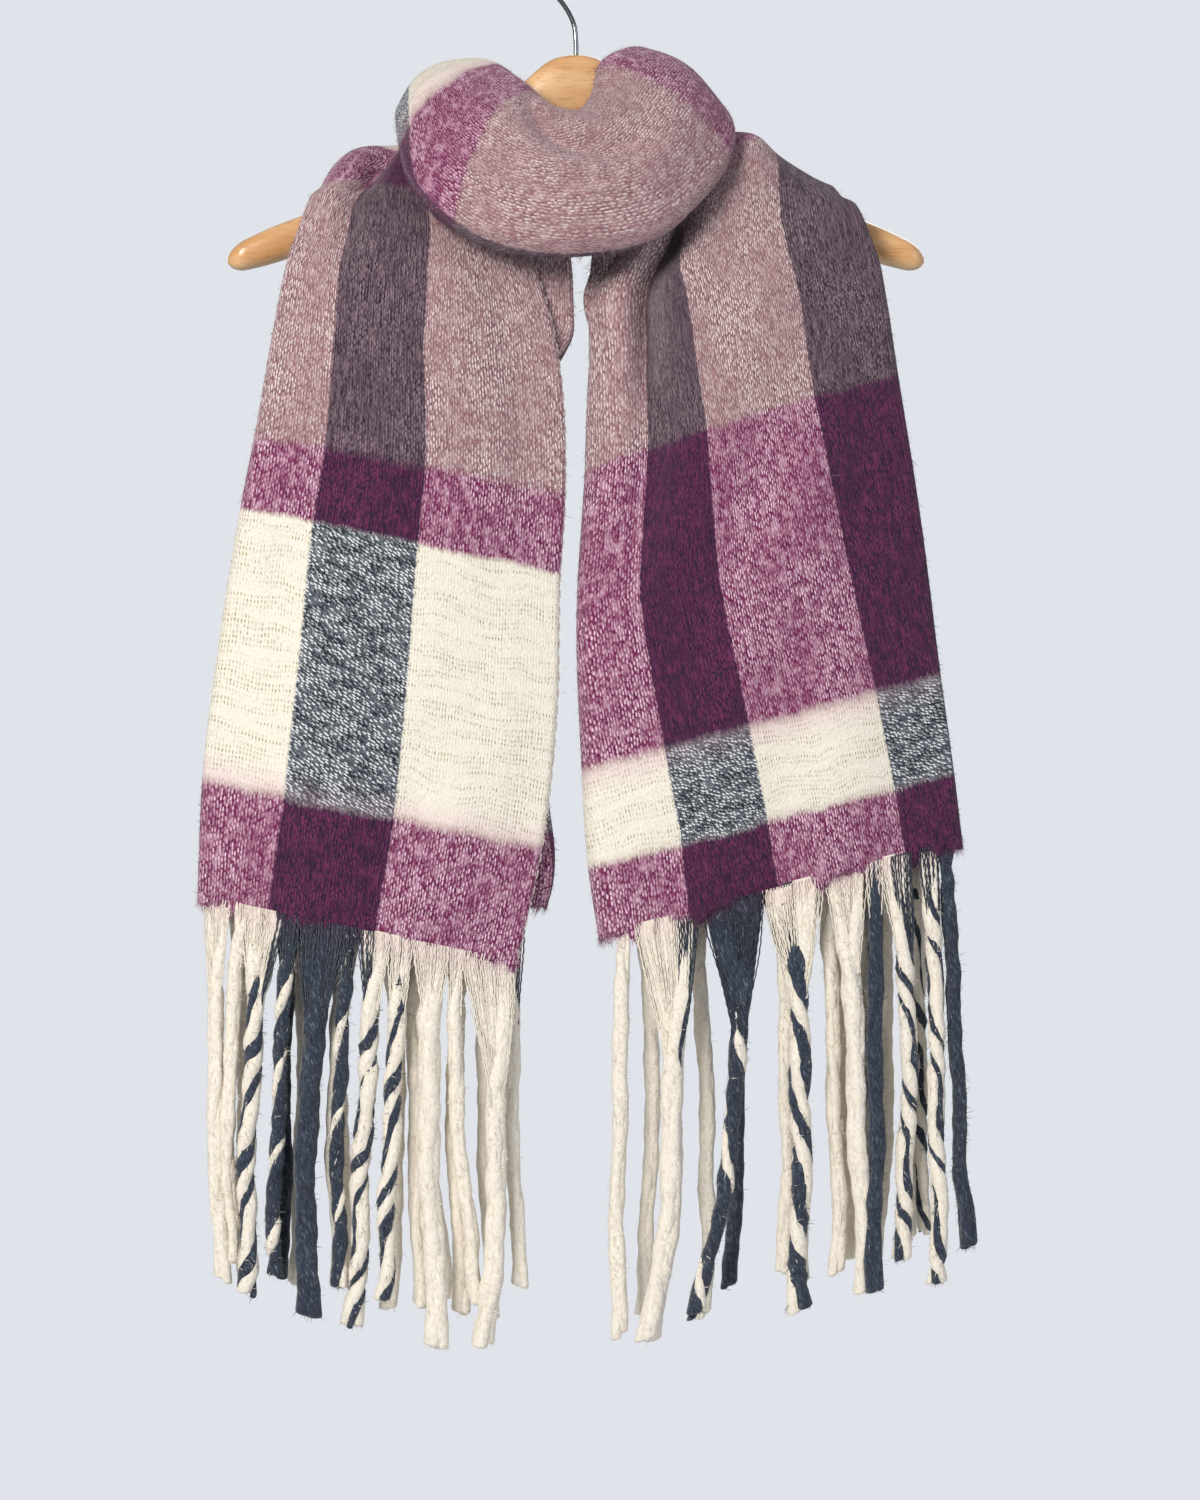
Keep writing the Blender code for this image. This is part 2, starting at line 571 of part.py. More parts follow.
def build():
    """The whole object, starting from an empty scene."""
    for old in list(bpy.data.objects):
        bpy.data.objects.remove(old)
    add_wood()
    add_hook()
    taupe, magenta, plum = (0.42, 0.26, 0.29), (0.28, 0.07, 0.19), (0.33, 0.19, 0.25)
    cream = (0.82, 0.76, 0.64)
    stretches = [
        ("left_end", LEFT_END_ROWS, LEFT_FOLD, 18, taupe),
        ("neck_back_inner", NECK_BACK_INNER_ROWS, BACK_FOLD, 8, plum),
        ("neck_loop", NECK_LOOP_ROWS, LOOP_FOLD, 20, taupe),
        ("neck_back_outer", NECK_BACK_OUTER_ROWS, BACK_FOLD, 11, plum),
        ("right_end", RIGHT_END_ROWS, RIGHT_FOLD, 18, magenta),
    ]
    path = Path([row for stretch in stretches for row in stretch[1]])
    first = 0
    for name, rows, layers, count, colour in stretches:
        last = first + len(rows) - (1 if first == 0 else 0)
        add_stretch(path, name, first, last, layers, count, colour)
        first = last
    add_fringe(path, "fringe_left", True, LEFT_FOLD, LEFT_STRANDS, cream)
    add_fringe(path, "fringe_right", False, RIGHT_FOLD, RIGHT_STRANDS, cream)


build()
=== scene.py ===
"""Looks of a brushed check blanket scarf that is wound once round a wooden coat hanger.

Lengths in the tables are millimetres, meshes are metres. +Z is up and the front faces -Y. The origin is the
underside of the hook's crown.

The scarf is one woven length. It is folded lengthwise in three and wound, so each stretch of it is a thin
wall carried along one smooth path, and a place on it is known by two measures of the flat cloth: how far
across the cut it lies and how far along from the left hem. The check, its flecks and the nap read these two.
"""

import logging
import math
from dataclasses import dataclass
from enum import Enum
from typing import NamedTuple

import bpy
import numpy as np
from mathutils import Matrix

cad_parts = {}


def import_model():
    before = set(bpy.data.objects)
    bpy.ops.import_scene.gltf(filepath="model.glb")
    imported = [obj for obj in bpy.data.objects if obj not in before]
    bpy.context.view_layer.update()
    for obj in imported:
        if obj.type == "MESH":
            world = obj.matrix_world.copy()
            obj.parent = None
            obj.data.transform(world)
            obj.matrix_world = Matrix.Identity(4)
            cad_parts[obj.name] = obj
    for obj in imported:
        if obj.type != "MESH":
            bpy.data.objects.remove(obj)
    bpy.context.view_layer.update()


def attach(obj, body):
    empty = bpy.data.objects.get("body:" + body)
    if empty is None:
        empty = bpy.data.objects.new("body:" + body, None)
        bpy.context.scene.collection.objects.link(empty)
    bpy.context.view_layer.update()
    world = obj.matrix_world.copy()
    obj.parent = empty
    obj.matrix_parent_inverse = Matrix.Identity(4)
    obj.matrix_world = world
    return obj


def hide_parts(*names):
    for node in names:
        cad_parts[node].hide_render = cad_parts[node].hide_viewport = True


LOG = logging.getLogger("scarf")
MM = 0.001
Colour = tuple[float, float, float]
Array = np.ndarray

WALL = 2.4                       # thickness of the cloth, its nap left out
HALF_GAP = 0.3                   # each stretch ends this far from the seam with the next one
CLOTH_MAP = "cloth"              # UV map that holds metres across the cut and metres along it
NAP_MAP = "OFBake"               # the same two measures, brought between 0 and 1
NAP_MAP_LOW = (-0.22, -0.02)     # lowest corner of that map in metres
NAP_MAP_SIZE = (0.88, 1.98)      # and its size


# ----------------------------------------------------------------------------------------------- colours

def srgb(red: int, green: int, blue: int) -> Colour:
    """Linear colour of an 8-bit screen colour.

    Args:
        red: Red from 0 to 255.
        green: Green from 0 to 255.
        blue: Blue from 0 to 255.

    Returns:
        The colour as three linear numbers.
    """
    shares = np.array([red, green, blue]) / 255
    linear = np.where(shares <= 0.04045, shares / 12.92, ((shares + 0.055) / 1.055) ** 2.4)
    return tuple(float(value) for value in linear)


class Weft(Enum):
    """Yarn of a band across the scarf, as weights of magenta, cream and taupe."""

    MAGENTA = (1.0, 0.0, 0.0)
    CREAM = (0.0, 1.0, 0.0)
    TAUPE = (0.0, 0.0, 1.0)


class Warp(Enum):
    """Yarn of a stripe along the scarf."""

    CREAM = "cream"
    SLATE = "slate"


class Tones(NamedTuple):
    """Body, pale fleck and dark fleck of one crossing of warp and weft."""

    body: Colour
    pale: Colour
    dark: Colour


CROSSINGS: dict[tuple[Warp, Weft], Tones] = {
    (Warp.CREAM, Weft.MAGENTA): Tones(srgb(127, 47, 90), srgb(246, 206, 227), srgb(86, 17, 61)),
    # cream over cream: its dark tone also serves as the painted shade in the gauze's gaps
    (Warp.CREAM, Weft.CREAM): Tones(srgb(244, 238, 222), srgb(252, 249, 239), srgb(182, 164, 126)),
    (Warp.CREAM, Weft.TAUPE): Tones(srgb(157, 118, 124), srgb(248, 232, 229), srgb(102, 62, 73)),
    (Warp.SLATE, Weft.MAGENTA): Tones(srgb(64, 33, 58), srgb(132, 58, 106), srgb(36, 30, 54)),
    (Warp.SLATE, Weft.CREAM): Tones(srgb(98, 106, 115), srgb(238, 242, 244), srgb(30, 37, 50)),
    (Warp.SLATE, Weft.TAUPE): Tones(srgb(86, 68, 80), srgb(158, 136, 146), srgb(38, 28, 42)),
}
BLUSH = srgb(226, 180, 198)      # loose magenta fibres over the cream next to a magenta band
BLUSH_REACH = 7.0                # how far they reach
BLUSH_SOFT = 9.0                 # half the width over which they thin out

# Bands along the scarf from the left hem: where each starts, and its yarn
WEFT_BANDS: tuple[tuple[float, Weft], ...] = (
    (-30.0, Weft.MAGENTA), (78.1, Weft.CREAM), (246.5, Weft.MAGENTA), (293.4, Weft.TAUPE),
    (462.0, Weft.MAGENTA), (514.0, Weft.CREAM), (572.0, Weft.MAGENTA), (640.0, Weft.TAUPE),
    (740.0, Weft.MAGENTA), (831.0, Weft.TAUPE), (975.0, Weft.MAGENTA), (1031.0, Weft.CREAM),
    (1092.0, Weft.MAGENTA), (1150.0, Weft.TAUPE), (1290.0, Weft.MAGENTA), (1340.0, Weft.CREAM),
    (1376.0, Weft.MAGENTA), (1426.0, Weft.TAUPE), (1610.0, Weft.MAGENTA), (1797.0, Weft.CREAM),
    (1855.8, Weft.MAGENTA),
)
BAND_SPLIT = 950.0               # the first ramp holds the bands up to here, the second the rest
BAND_END = 1940.0                # where the second ramp ends
BAND_SOFT = 1.6                  # half the width of a band's blurred edge
STRIPE_REPEAT = 168.0            # one cream and one slate stripe
CREAM_STRIPE = 98.0              # the cream one alone
STRIPE_SOFT = 0.006              # half the width of its blurred edge, as a share of the repeat
STRIPE_FADE = 0.989              # share of the repeat where the slate stripe begins to end
LOOP_START = 700.0               # where the loop's stretched face starts
LOOP_LENGTH = 400.0              # and how long it is
LOOP_STRETCH = 0.45              # the loop's face is this much longer than its middle line
LOOP_BULGE = 0.25                # and this much wider than its cut


# ------------------------------------------------------------------------------------------- shader nodes

class Signal:
    """A number, vector or colour that comes out of a shader node. Arithmetic on it lays further nodes."""

    def __init__(self, bench: "Bench", socket: bpy.types.NodeSocket) -> None:
        """Args:
            bench: The material's bench.
            socket: Where it comes out.
        """
        self.bench = bench
        self.socket = socket

    def __add__(self, other: object) -> "Signal":
        """Sum."""
        return self.bench.math("ADD", self, other)

    def __sub__(self, other: object) -> "Signal":
        """Difference."""
        return self.bench.math("SUBTRACT", self, other)

    def __rsub__(self, other: object) -> "Signal":
        """Difference from a plain number."""
        return self.bench.math("SUBTRACT", other, self)

    def __mul__(self, other: object) -> "Signal":
        """Product."""
        return self.bench.math("MULTIPLY", self, other)

    def __truediv__(self, other: object) -> "Signal":
        """Quotient."""
        return self.bench.math("DIVIDE", self, other)

    def ease(self, low: float, high: float) -> "Signal":
        """Smooth step from 0 at low to 1 at high."""
        node = self.bench.node("MapRange", Value=self, From_Min=low, From_Max=high)
        node.interpolation_type = "SMOOTHSTEP"
        return self.bench.out(node)


class Bench:
    """Lays out the shader nodes of one material."""

    def __init__(self, name: str) -> None:
        """Args:
            name: The material's name.
        """
        self.material = bpy.data.materials.new(name)
        self.material.use_nodes = True
        self.tree = self.material.node_tree
        self.shader = self.tree.nodes["Principled BSDF"]

    def put(self, socket: bpy.types.NodeSocket, value: object) -> None:
        """Links a signal into a socket, or sets the socket's value."""
        if isinstance(value, Signal):
            self.tree.links.new(value.socket, socket)
        elif isinstance(value, tuple) and len(value) == 3 and socket.type == "RGBA":
            socket.default_value = (*value, 1.0)
        else:
            socket.default_value = value

    def fill(self, node: bpy.types.Node, **values: object) -> None:
        """Fills a node's sockets, whose names have spaces where the arguments have underscores."""
        for name, value in values.items():
            self.put(node.inputs[name.replace("_", " ")], value)

    def node(self, kind: str, *ordered: object, **named: object) -> bpy.types.Node:
        """A new shader node with its first sockets filled in order and others by name."""
        made = self.tree.nodes.new(f"ShaderNode{kind}")
        for socket, value in zip(made.inputs, ordered):
            self.put(socket, value)
        self.fill(made, **named)
        return made

    def out(self, node: bpy.types.Node, socket: int | str = 0) -> Signal:
        """What comes out of a node."""
        return Signal(self, node.outputs[socket])

    def math(self, operation: str, *values: object) -> Signal:
        """One step of arithmetic."""
        node = self.node("Math", *values)
        node.operation = operation
        return self.out(node)

    def join(self, x: object, y: object, z: object = 0.0) -> Signal:
        """A vector from three numbers."""
        return self.out(self.node("CombineXYZ", x, y, z))

    def part(self, vector: Signal) -> tuple[Signal, ...]:
        """The three numbers of a vector."""
        node = self.node("SeparateXYZ", vector)
        return tuple(self.out(node, k) for k in range(3))

    def noise(self, vector: Signal, detail: float = 2.0, roughness: float = 0.5) -> Signal:
        """Soft noise from 0 to 1 of a vector that is already scaled."""
        return self.out(self.node("TexNoise", Vector=vector, Scale=1.0, Detail=detail, Roughness=roughness))

    def grain(self, scales: tuple[float, float, float], detail: float = 2.0, roughness: float = 0.5,
              lean: float = 0.0) -> Signal:
        """Soft noise of the place on the piece.

        Args:
            scales: How often it repeats in a metre along each axis.
            detail: Its octaves.
            roughness: How strong the finer ones are.
            lean: How far its upright streaks lean along x.

        Returns:
            The noise, from 0 to 1.
        """
        x, y, z = self.part(self.place())
        scaled = self.join((x + z * lean) * scales[0], y * scales[1], z * scales[2])
        return self.noise(scaled, detail, roughness)

    def dashes(self, across: Signal, along: Signal, spacing: tuple[float, float], size: tuple[float, float],
               tilt: float, randomness: float, stagger: float = 0.5) -> tuple[Signal, Signal]:
        """Soft-edged dashes in columns.

        Args:
            across: Millimetres across the cloth.
            along: Millimetres along it.
            spacing: Millimetres from one dash to the next, across and along.
            size: Width and length of a dash.
            tilt: How far it leans, in radians.
            randomness: How unevenly they lie, from 0 to 1.
            stagger: How far each column is moved on from the last, in spacings.

        Returns:
            1 on a dash and 0 off it, and a number from 0 to 1 of each dash's own.
        """
        x = across * (1 / spacing[0])
        y = x * stagger + along * (1 / spacing[1])
        node = self.node("TexVoronoi", Scale=1.0, Randomness=randomness)
        node.voronoi_dimensions = "2D"
        self.put(node.inputs["Vector"], self.join(x, y))
        middle_x, middle_y, _ = self.part(self.out(node, "Position"))
        off_x = x - middle_x
        off_y = y - middle_y - off_x * stagger
        right, ahead = off_x * spacing[0], off_y * spacing[1]
        sideways = right * (2 * math.cos(tilt) / size[0]) - ahead * (2 * math.sin(tilt) / size[0])
        lengthways = right * (2 * math.sin(tilt) / size[1]) + ahead * (2 * math.cos(tilt) / size[1])
        inside = (sideways * sideways + lengthways * lengthways).ease(1.35, 0.5)
        return inside, self.part(self.out(node, "Color"))[0]

    def blend(self, share: object, first: object, second: object) -> Signal:
        """Colour between two colours."""
        node = self.node("Mix")
        node.data_type = "RGBA"
        for k, value in ((0, share), (6, first), (7, second)):
            self.put(node.inputs[k], value)
        return self.out(node, 2)

    def ramp(self, share: Signal, stops: list[tuple[float, Colour]]) -> Signal:
        """Colour ramp with straight runs between its stops."""
        node = self.node("ValToRGB", share)
        elements = node.color_ramp.elements
        for element, (place, colour) in ((elements[0], stops[0]), (elements[1], stops[-1])):
            element.position, element.color = place, (*colour, 1.0)
        for place, colour in stops[1:-1]:
            elements.new(place).color = (*colour, 1.0)
        return self.out(node)

    def bump(self, height: Signal, strength: float, depth: float) -> None:
        """Fine relief on the shader."""
        node = self.node("Bump", Strength=strength, Distance=depth, Height=height)
        self.put(self.shader.inputs["Normal"], self.out(node))

    def map(self, name: str) -> Signal:
        """A UV map of the piece."""
        node = self.node("UVMap")
        node.uv_map = name
        return self.out(node)

    def place(self) -> Signal:
        """The point on the piece in its own metres."""
        return self.out(self.node("TexCoord"), "Object")


@dataclass(frozen=True)
class CheckCloth:
    """The woven check with its brushed face, read from the two measures of the flat cloth.

    A stripe's yarn follows the measure across, a band's yarn the measure along. Each of their six crossings
    has a body colour with pale and dark flecks of its own. The lengths in its methods are millimetres, and
    the factors of a noise's two measures are its repeats in one millimetre.
    """

    name: str
    nap: bool = False                # for loose fibres: softer flecks and no relief
    sheen: float = 0.28

    def make(self) -> bpy.types.Material:
        """Returns:
            The finished material.
        """
        bench = Bench(self.name)
        across, along = self.measures(bench)
        slate = self.slate_share(bench, across, along)
        magenta, cream, _ = self.band_weights(bench, across, along)
        pale, dark, height, cloud = self.flecks(bench, across, along, slate, cream)
        body, light, deep = (self.crossing(bench, tone, slate, magenta, cream) for tone in Tones._fields)
        # soft clouds of tone, strongest on magenta and faint on cream
        clouding = magenta * 0.20 + 0.27 - cream * 0.22
        body = bench.blend(cloud.ease(0.46, 0.70) * clouding, body, light)
        body = bench.blend(cloud.ease(0.54, 0.30) * clouding, body, deep)
        colour = bench.blend(pale, bench.blend(dark, body, deep), light)
        magenta_before, _, _ = self.band_weights(bench, across, along - BLUSH_REACH, BLUSH_SOFT)
        blush = magenta_before * (0.46 - slate * 0.28) * cream
        bench.fill(bench.shader, Base_Color=bench.blend(blush, colour, BLUSH), Roughness=0.95,
                   Specular_IOR_Level=0.1, Sheen_Weight=self.sheen, Sheen_Roughness=0.45,
                   Sheen_Tint=srgb(238, 226, 232))
        if not self.nap:
            bench.bump(height, 0.6, 0.0012)
        return bench.material

    def crossing(self, bench: Bench, tone: str, slate: Signal, magenta: Signal, cream: Signal) -> Signal:
        """One tone of whichever crossing a place lies on."""
        by_warp = []
        for warp in Warp:
            taupe, pink, white = (getattr(CROSSINGS[warp, weft], tone)
                                  for weft in (Weft.TAUPE, Weft.MAGENTA, Weft.CREAM))
            by_warp.append(bench.blend(cream, bench.blend(magenta, taupe, pink), white))
        return bench.blend(slate, *by_warp)

    def measures(self, bench: Bench) -> list[Signal]:
        """Millimetres across the cut and along it."""
        if not self.nap:
            return [value * 1000.0 for value in bench.part(bench.map(CLOTH_MAP))[:2]]
        return [value * (size * 1000) + low * 1000
                for value, low, size in zip(bench.part(bench.map(NAP_MAP)), NAP_MAP_LOW, NAP_MAP_SIZE)]

    def slate_share(self, bench: Bench, across: Signal, along: Signal) -> Signal:
        """1 in a slate stripe and 0 in a cream one, with an edge that wavers by a yarn."""
        waver = bench.noise(bench.join(across * 0.09, along * 0.35))
        moved = (waver - 0.5) * 3.4 + across
        turn = bench.math("FRACT", moved / STRIPE_REPEAT)
        edge = CREAM_STRIPE / STRIPE_REPEAT
        return turn.ease(edge - STRIPE_SOFT, edge + STRIPE_SOFT) - turn.ease(STRIPE_FADE, 1.0)

    def band_weights(self, bench: Bench, across: Signal, along: Signal,
                     soft: float = BAND_SOFT) -> tuple[Signal, ...]:
        """Weights of the three weft yarns, whose bands end raggedly from one warp yarn to the next."""
        yarn = bench.noise(bench.join(across * 0.75, along * 0.10), 1.0)
        sway = bench.noise(bench.join(across * 0.045, along * 0.03), 1.0)
        moved = (sway - 0.5) * 6 + ((yarn - 0.5) * 5 + along)
        first = bench.ramp(moved / BAND_SPLIT, band_stops(0.0, BAND_SPLIT, soft))
        share = (moved - BAND_SPLIT) / (BAND_END - BAND_SPLIT)
        second = bench.ramp(share, band_stops(BAND_SPLIT, BAND_END, soft))
        return bench.part(bench.blend(bench.math("GREATER_THAN", moved, BAND_SPLIT), first, second))

    def flecks(self, bench: Bench, across: Signal, along: Signal, slate: Signal,
               cream: Signal) -> tuple[Signal, ...]:
        """Flecks of the weave, with the fine hair over them.

        Upright flecks lie all over, and slanting ones in cream bands over slate. In cream bands over cream
        there are faint upright gaps in wavy rows, whose shade is painted dark. Brushing hides them here and
        there, and most on the loop, where the cloth is stretched.

        Args:
            bench: The material's bench.
            across: Millimetres across the cut.
            along: Millimetres along it.
            slate: 1 in a slate stripe.
            cream: 1 in a cream band.

        Returns:
            Shares of the pale and the dark flecks, the dark ones with the painted shade of the gaps, the
            height of the relief, and clouds of tone.
        """
        part = bench.math("MINIMUM", bench.math("MAXIMUM", (along - LOOP_START) / LOOP_LENGTH, 0.0), 1.0)
        loop = part * (1 - part) * 4
        along = part * (LOOP_LENGTH * LOOP_STRETCH) + along
        across = across * (loop * LOOP_BULGE + 1)

        def noise(by_across: float, by_along: float, detail: float = 2.0, roughness: float = 0.5) -> Signal:
            """Noise of the two measures."""
            return bench.noise(bench.join(across * by_across, along * by_along), detail, roughness)

        cloud = noise(0.150, 0.105, 5.0, 0.60)
        brushed = noise(0.030, 0.017).ease(0.40, 0.60)
        hair = noise(1.1, 0.42, 3.0, 0.65)
        streak = noise(0.85, 0.065, 3.0, 0.6)
        drifted = noise(0.07, 0.16, 3.0).ease(0.38, 0.60)
        upright, own = bench.dashes(across, along, (1.95, 3.4), (1.15, 3.1), 0.0, 0.55)
        under, own_under = bench.dashes(across + 40, along, (1.9, 3.2), (1.0, 3.0), 0.0, 0.75)
        lying, own_lying = bench.dashes(across, along, (3.0, 1.9), (1.0, 3.6), 1.05, 0.75)
        # painted shade: dark dots in wavy rows where the gauzy cream-over-cream weave has gaps
        wavy = noise(0.03, 0.015, 1.0) * 14 + along
        gap_shade, gap_shade_own = bench.dashes(across, wavy, (2.1, 3.1), (0.9, 2.3), 0.0, 0.18, 0.0)
        rows = bench.noise(bench.join(across * 0.022, wavy * 0.15)).ease(0.38, 0.62)
        marled = slate * cream
        gauze = (1 - slate) * cream
        shown = (0.98 - brushed * 0.50) * (1 - loop * 0.32)
        # the pale flecks
        dash = upright * (own * 0.95 + 0.18) * shown * (1 - slate * 0.25) * (hair * 1.2 + 0.4)
        marl = lying * own_lying.ease(0.05, 0.60) * (drifted * 1.15 + 0.36)
        pale = bench.blend(marled, dash, marl)
        # the dark flecks, and painted shade in the gaps of the gauzy cream-over-cream weave
        between = under * (own_under * 0.8 + 0.2) * (1 - upright) * shown * 0.85
        dark = bench.blend(marled, between, (1 - lying) * (0.90 - drifted * 0.75))
        dark = bench.blend(gauze, dark, gap_shade * gap_shade_own.ease(-0.2, 0.60) * rows)
        # long streaks of fibre over the slate stripes, and fine hair over everything
        streaked = slate - marled
        dark = streak.ease(0.52, 0.36) * (streaked * 0.65) + dark
        pale = streak.ease(0.50, 0.68) * (streaked * 0.42) + pale
        dark = hair.ease(0.50, 0.30) * (slate * 0.25 + 0.40 - gauze * 0.30) + dark
        pale = hair.ease(0.52, 0.72) * 0.34 + pale
        if self.nap:
            return pale * 0.6 + 0.14, dark * 0.5, pale, cloud
        height = hair * 0.9 + (pale - dark)
        return bench.math("MINIMUM", pale, 1.0), bench.math("MINIMUM", dark, 1.0), height, cloud


def band_stops(low: float, high: float, soft: float) -> list[tuple[float, Colour]]:
    """Stops of a ramp over one run of the bands.

    Args:
        low: Measure along the cloth where the ramp starts.
        high: Measure where it ends.
        soft: Half the width of a band's blurred edge.

    Returns:
        Places from 0 to 1 with the weights of magenta, cream and taupe.
    """
    before = [weft for start, weft in WEFT_BANDS if start <= low][-1]
    stops = [(0.0, before.value)]
    for start, weft in WEFT_BANDS:
        if low < start < high:
            stops.append((max(start - soft - low, 0.0) / (high - low), before.value))
            stops.append((min(start + soft - low, high - low) / (high - low), weft.value))
            before = weft
    return stops + [(1.0, before.value)]


@dataclass(frozen=True)
class Yarn:
    """Soft spun fringe yarn: slanting fibre streaks, small lumps, and dye from the last weft at its root.

    Both hems run nearly straight: each is a height at the middle of the body and a rise for every metre out.
    """

    name: str
    body: Colour
    light: Colour
    dark: Colour
    dyed: Colour
    hems: tuple[tuple[float, float], ...] = ((-0.6533, -0.2057), (-0.6331, 0.2640))

    def make(self) -> bpy.types.Material:
        """Returns:
            The finished material.
        """
        bench = Bench(self.name)
        x, _, z = bench.part(bench.place())
        fibre = bench.grain((900.0, 900.0, 210.0), 3.0, 0.62, lean=0.35)
        lumps = bench.grain((380.0, 380.0, 300.0), 3.0, 0.6)
        colour = bench.blend(fibre.ease(0.46, 0.28) * 0.55, self.body, self.dark)
        colour = bench.blend(fibre.ease(0.50, 0.74), colour, self.light)
        colour = bench.blend(lumps.ease(0.50, 0.34) * 0.4, colour, self.dark)
        above = z - bench.math("MAXIMUM", *(x * rise + height for height, rise in self.hems))
        dye = (fibre * 0.010 + above).ease(-0.006, 0.006) * 0.2
        bench.fill(bench.shader, Base_Color=bench.blend(dye, colour, self.dyed), Roughness=0.95,
                   Specular_IOR_Level=0.1, Sheen_Weight=0.25, Sheen_Roughness=0.5)
        bench.bump(lumps * 1.2 + fibre * 0.6, 0.7, 0.0016)
        return bench.material


@dataclass(frozen=True)
class Varnish:
    """Honey-brown varnished beech with long grain along the arms."""

    name: str
    light: Colour
    middle: Colour
    dark: Colour

    def make(self) -> bpy.types.Material:
        """Returns:
            The finished material.
        """
        bench = Bench(self.name)
        slow = bench.grain((9.0, 60.0, 55.0))
        fine = bench.grain((70.0, 900.0, 900.0), 3.0, 0.6)
        colour = bench.blend(slow.ease(0.34, 0.66), self.light, self.middle)
        colour = bench.blend(fine.ease(0.52, 0.70) * 0.5, colour, self.dark)
        bench.fill(bench.shader, Base_Color=colour, Roughness=0.34, Coat_Weight=0.35, Coat_Roughness=0.16)
        bench.bump(fine, 0.12, 0.0003)
        return bench.material


@dataclass(frozen=True)
class Plating:
    """Bright plated wire with the faint cloudiness of drawn steel under it."""

    name: str
    colour: Colour

    def make(self) -> bpy.types.Material:
        """Returns:
            The finished material.
        """
        bench = Bench(self.name)
        rough = bench.grain((400.0, 400.0, 90.0)) * 0.12 + 0.08
        bench.fill(bench.shader, Base_Color=self.colour, Metallic=1.0, Roughness=rough)
        return bench.material


# ------------------------------------------------------------------------------------------------ meshes

def add_piece(name: str, points: Array, faces: list, materials: list[bpy.types.Material],
              smooth: bool = True) -> bpy.types.Object:
    """A mesh object that rides on the body.

    Args:
        name: The piece's name.
        points: Corners in millimetres, one row each.
        faces: Corner numbers of each face.
        materials: Its materials, in slot order.
        smooth: Whether it is shaded smooth.

    Returns:
        The object.
    """
    mesh = bpy.data.meshes.new(name)
    mesh.from_pydata((np.asarray(points, float) * MM).tolist(), [], faces)
    for material in materials:
        mesh.materials.append(material)
    if smooth:
        mesh.shade_smooth()
    made = bpy.data.objects.new(name, mesh)
    bpy.context.scene.collection.objects.link(made)
    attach(made, "root")
    return made


def add_map(piece: bpy.types.Object, name: str, places: Array) -> None:
    """Gives a mesh a UV map from one place for each of its corners' vertices."""
    mesh = piece.data
    corners = np.empty(len(mesh.loops), np.int32)
    mesh.loops.foreach_get("vertex_index", corners)
    layer = mesh.uv_layers.new(name=name, do_init=False)
    layer.uv.foreach_set("vector", np.asarray(places, np.float32)[corners].ravel())


def ring_faces(rows: int, columns: int, first: int = 0) -> list:
    """Quads between closed rings of points that are numbered ring after ring."""
    i = np.arange(rows - 1)[:, None] * columns
    j = np.arange(columns)[None, :]
    n = (j + 1) % columns
    quads = np.stack([i + j, i + n, i + columns + n, i + columns + j], axis=-1)
    return (quads.reshape(-1, 4) + first).tolist()


def tube_faces(rows: int, columns: int, first: int = 0) -> list:
    """Quads between closed rings, and a face that closes each end."""
    last = first + (rows - 1) * columns
    return [*ring_faces(rows, columns, first), list(range(first, first + columns))[::-1],
            list(range(last, last + columns))]


def ring_angles(sides: int) -> Array:
    """Even angles round a section."""
    return np.arange(sides) * 2 * math.pi / sides


def run_length(points: Array) -> Array:
    """Distance from the first point to each along a line of points."""
    return np.concatenate([[0], np.cumsum(np.linalg.norm(np.diff(points, axis=0), axis=1))])


def between(places: Array, knots: Array, values: Array) -> Array:
    """Values at some places, column by column, along straight lines from knot to knot."""
    return np.stack([np.interp(places, knots, column) for column in values.T], axis=-1)


def smooth_curve(knots: Array, values: Array, places: Array) -> Array:
    """Cubic through the knots whose slope at a knot is that of its two neighbours."""
    slopes = np.gradient(values, knots, axis=0)
    i = np.clip(np.searchsorted(knots, places, side="right") - 1, 0, len(knots) - 2)
    span = knots[i + 1] - knots[i]
    t = (places - knots[i]) / span
    if values.ndim > 1:
        t, span = t[:, None], span[:, None]
    return ((2 * t**3 - 3 * t**2 + 1) * values[i] + (t**3 - 2 * t**2 + t) * span * slopes[i]
            + (3 * t**2 - 2 * t**3) * values[i + 1] + (t**3 - t**2) * span * slopes[i + 1])


def unit(vectors: Array) -> Array:
    """Vectors of length one."""
    return vectors / np.maximum(np.linalg.norm(vectors, axis=-1, keepdims=True), 1e-9)


# ------------------------------------------------------------------------------------------- scarf's path

class Row(NamedTuple):
    """One section of the folded scarf.

    x0 y0 z0 is the neck-side edge, x1 y1 z1 the outer edge. bow is how far the face stands out between them,
    pitch the distance between layers. lean0 and lean1 are how far the weave runs ahead at the two edges.
    """

    x0: float
    y0: float
    z0: float
    x1: float
    y1: float
    z1: float
    bow: float
    pitch: float
    lean0: float = 0.0
    lean1: float = 0.0


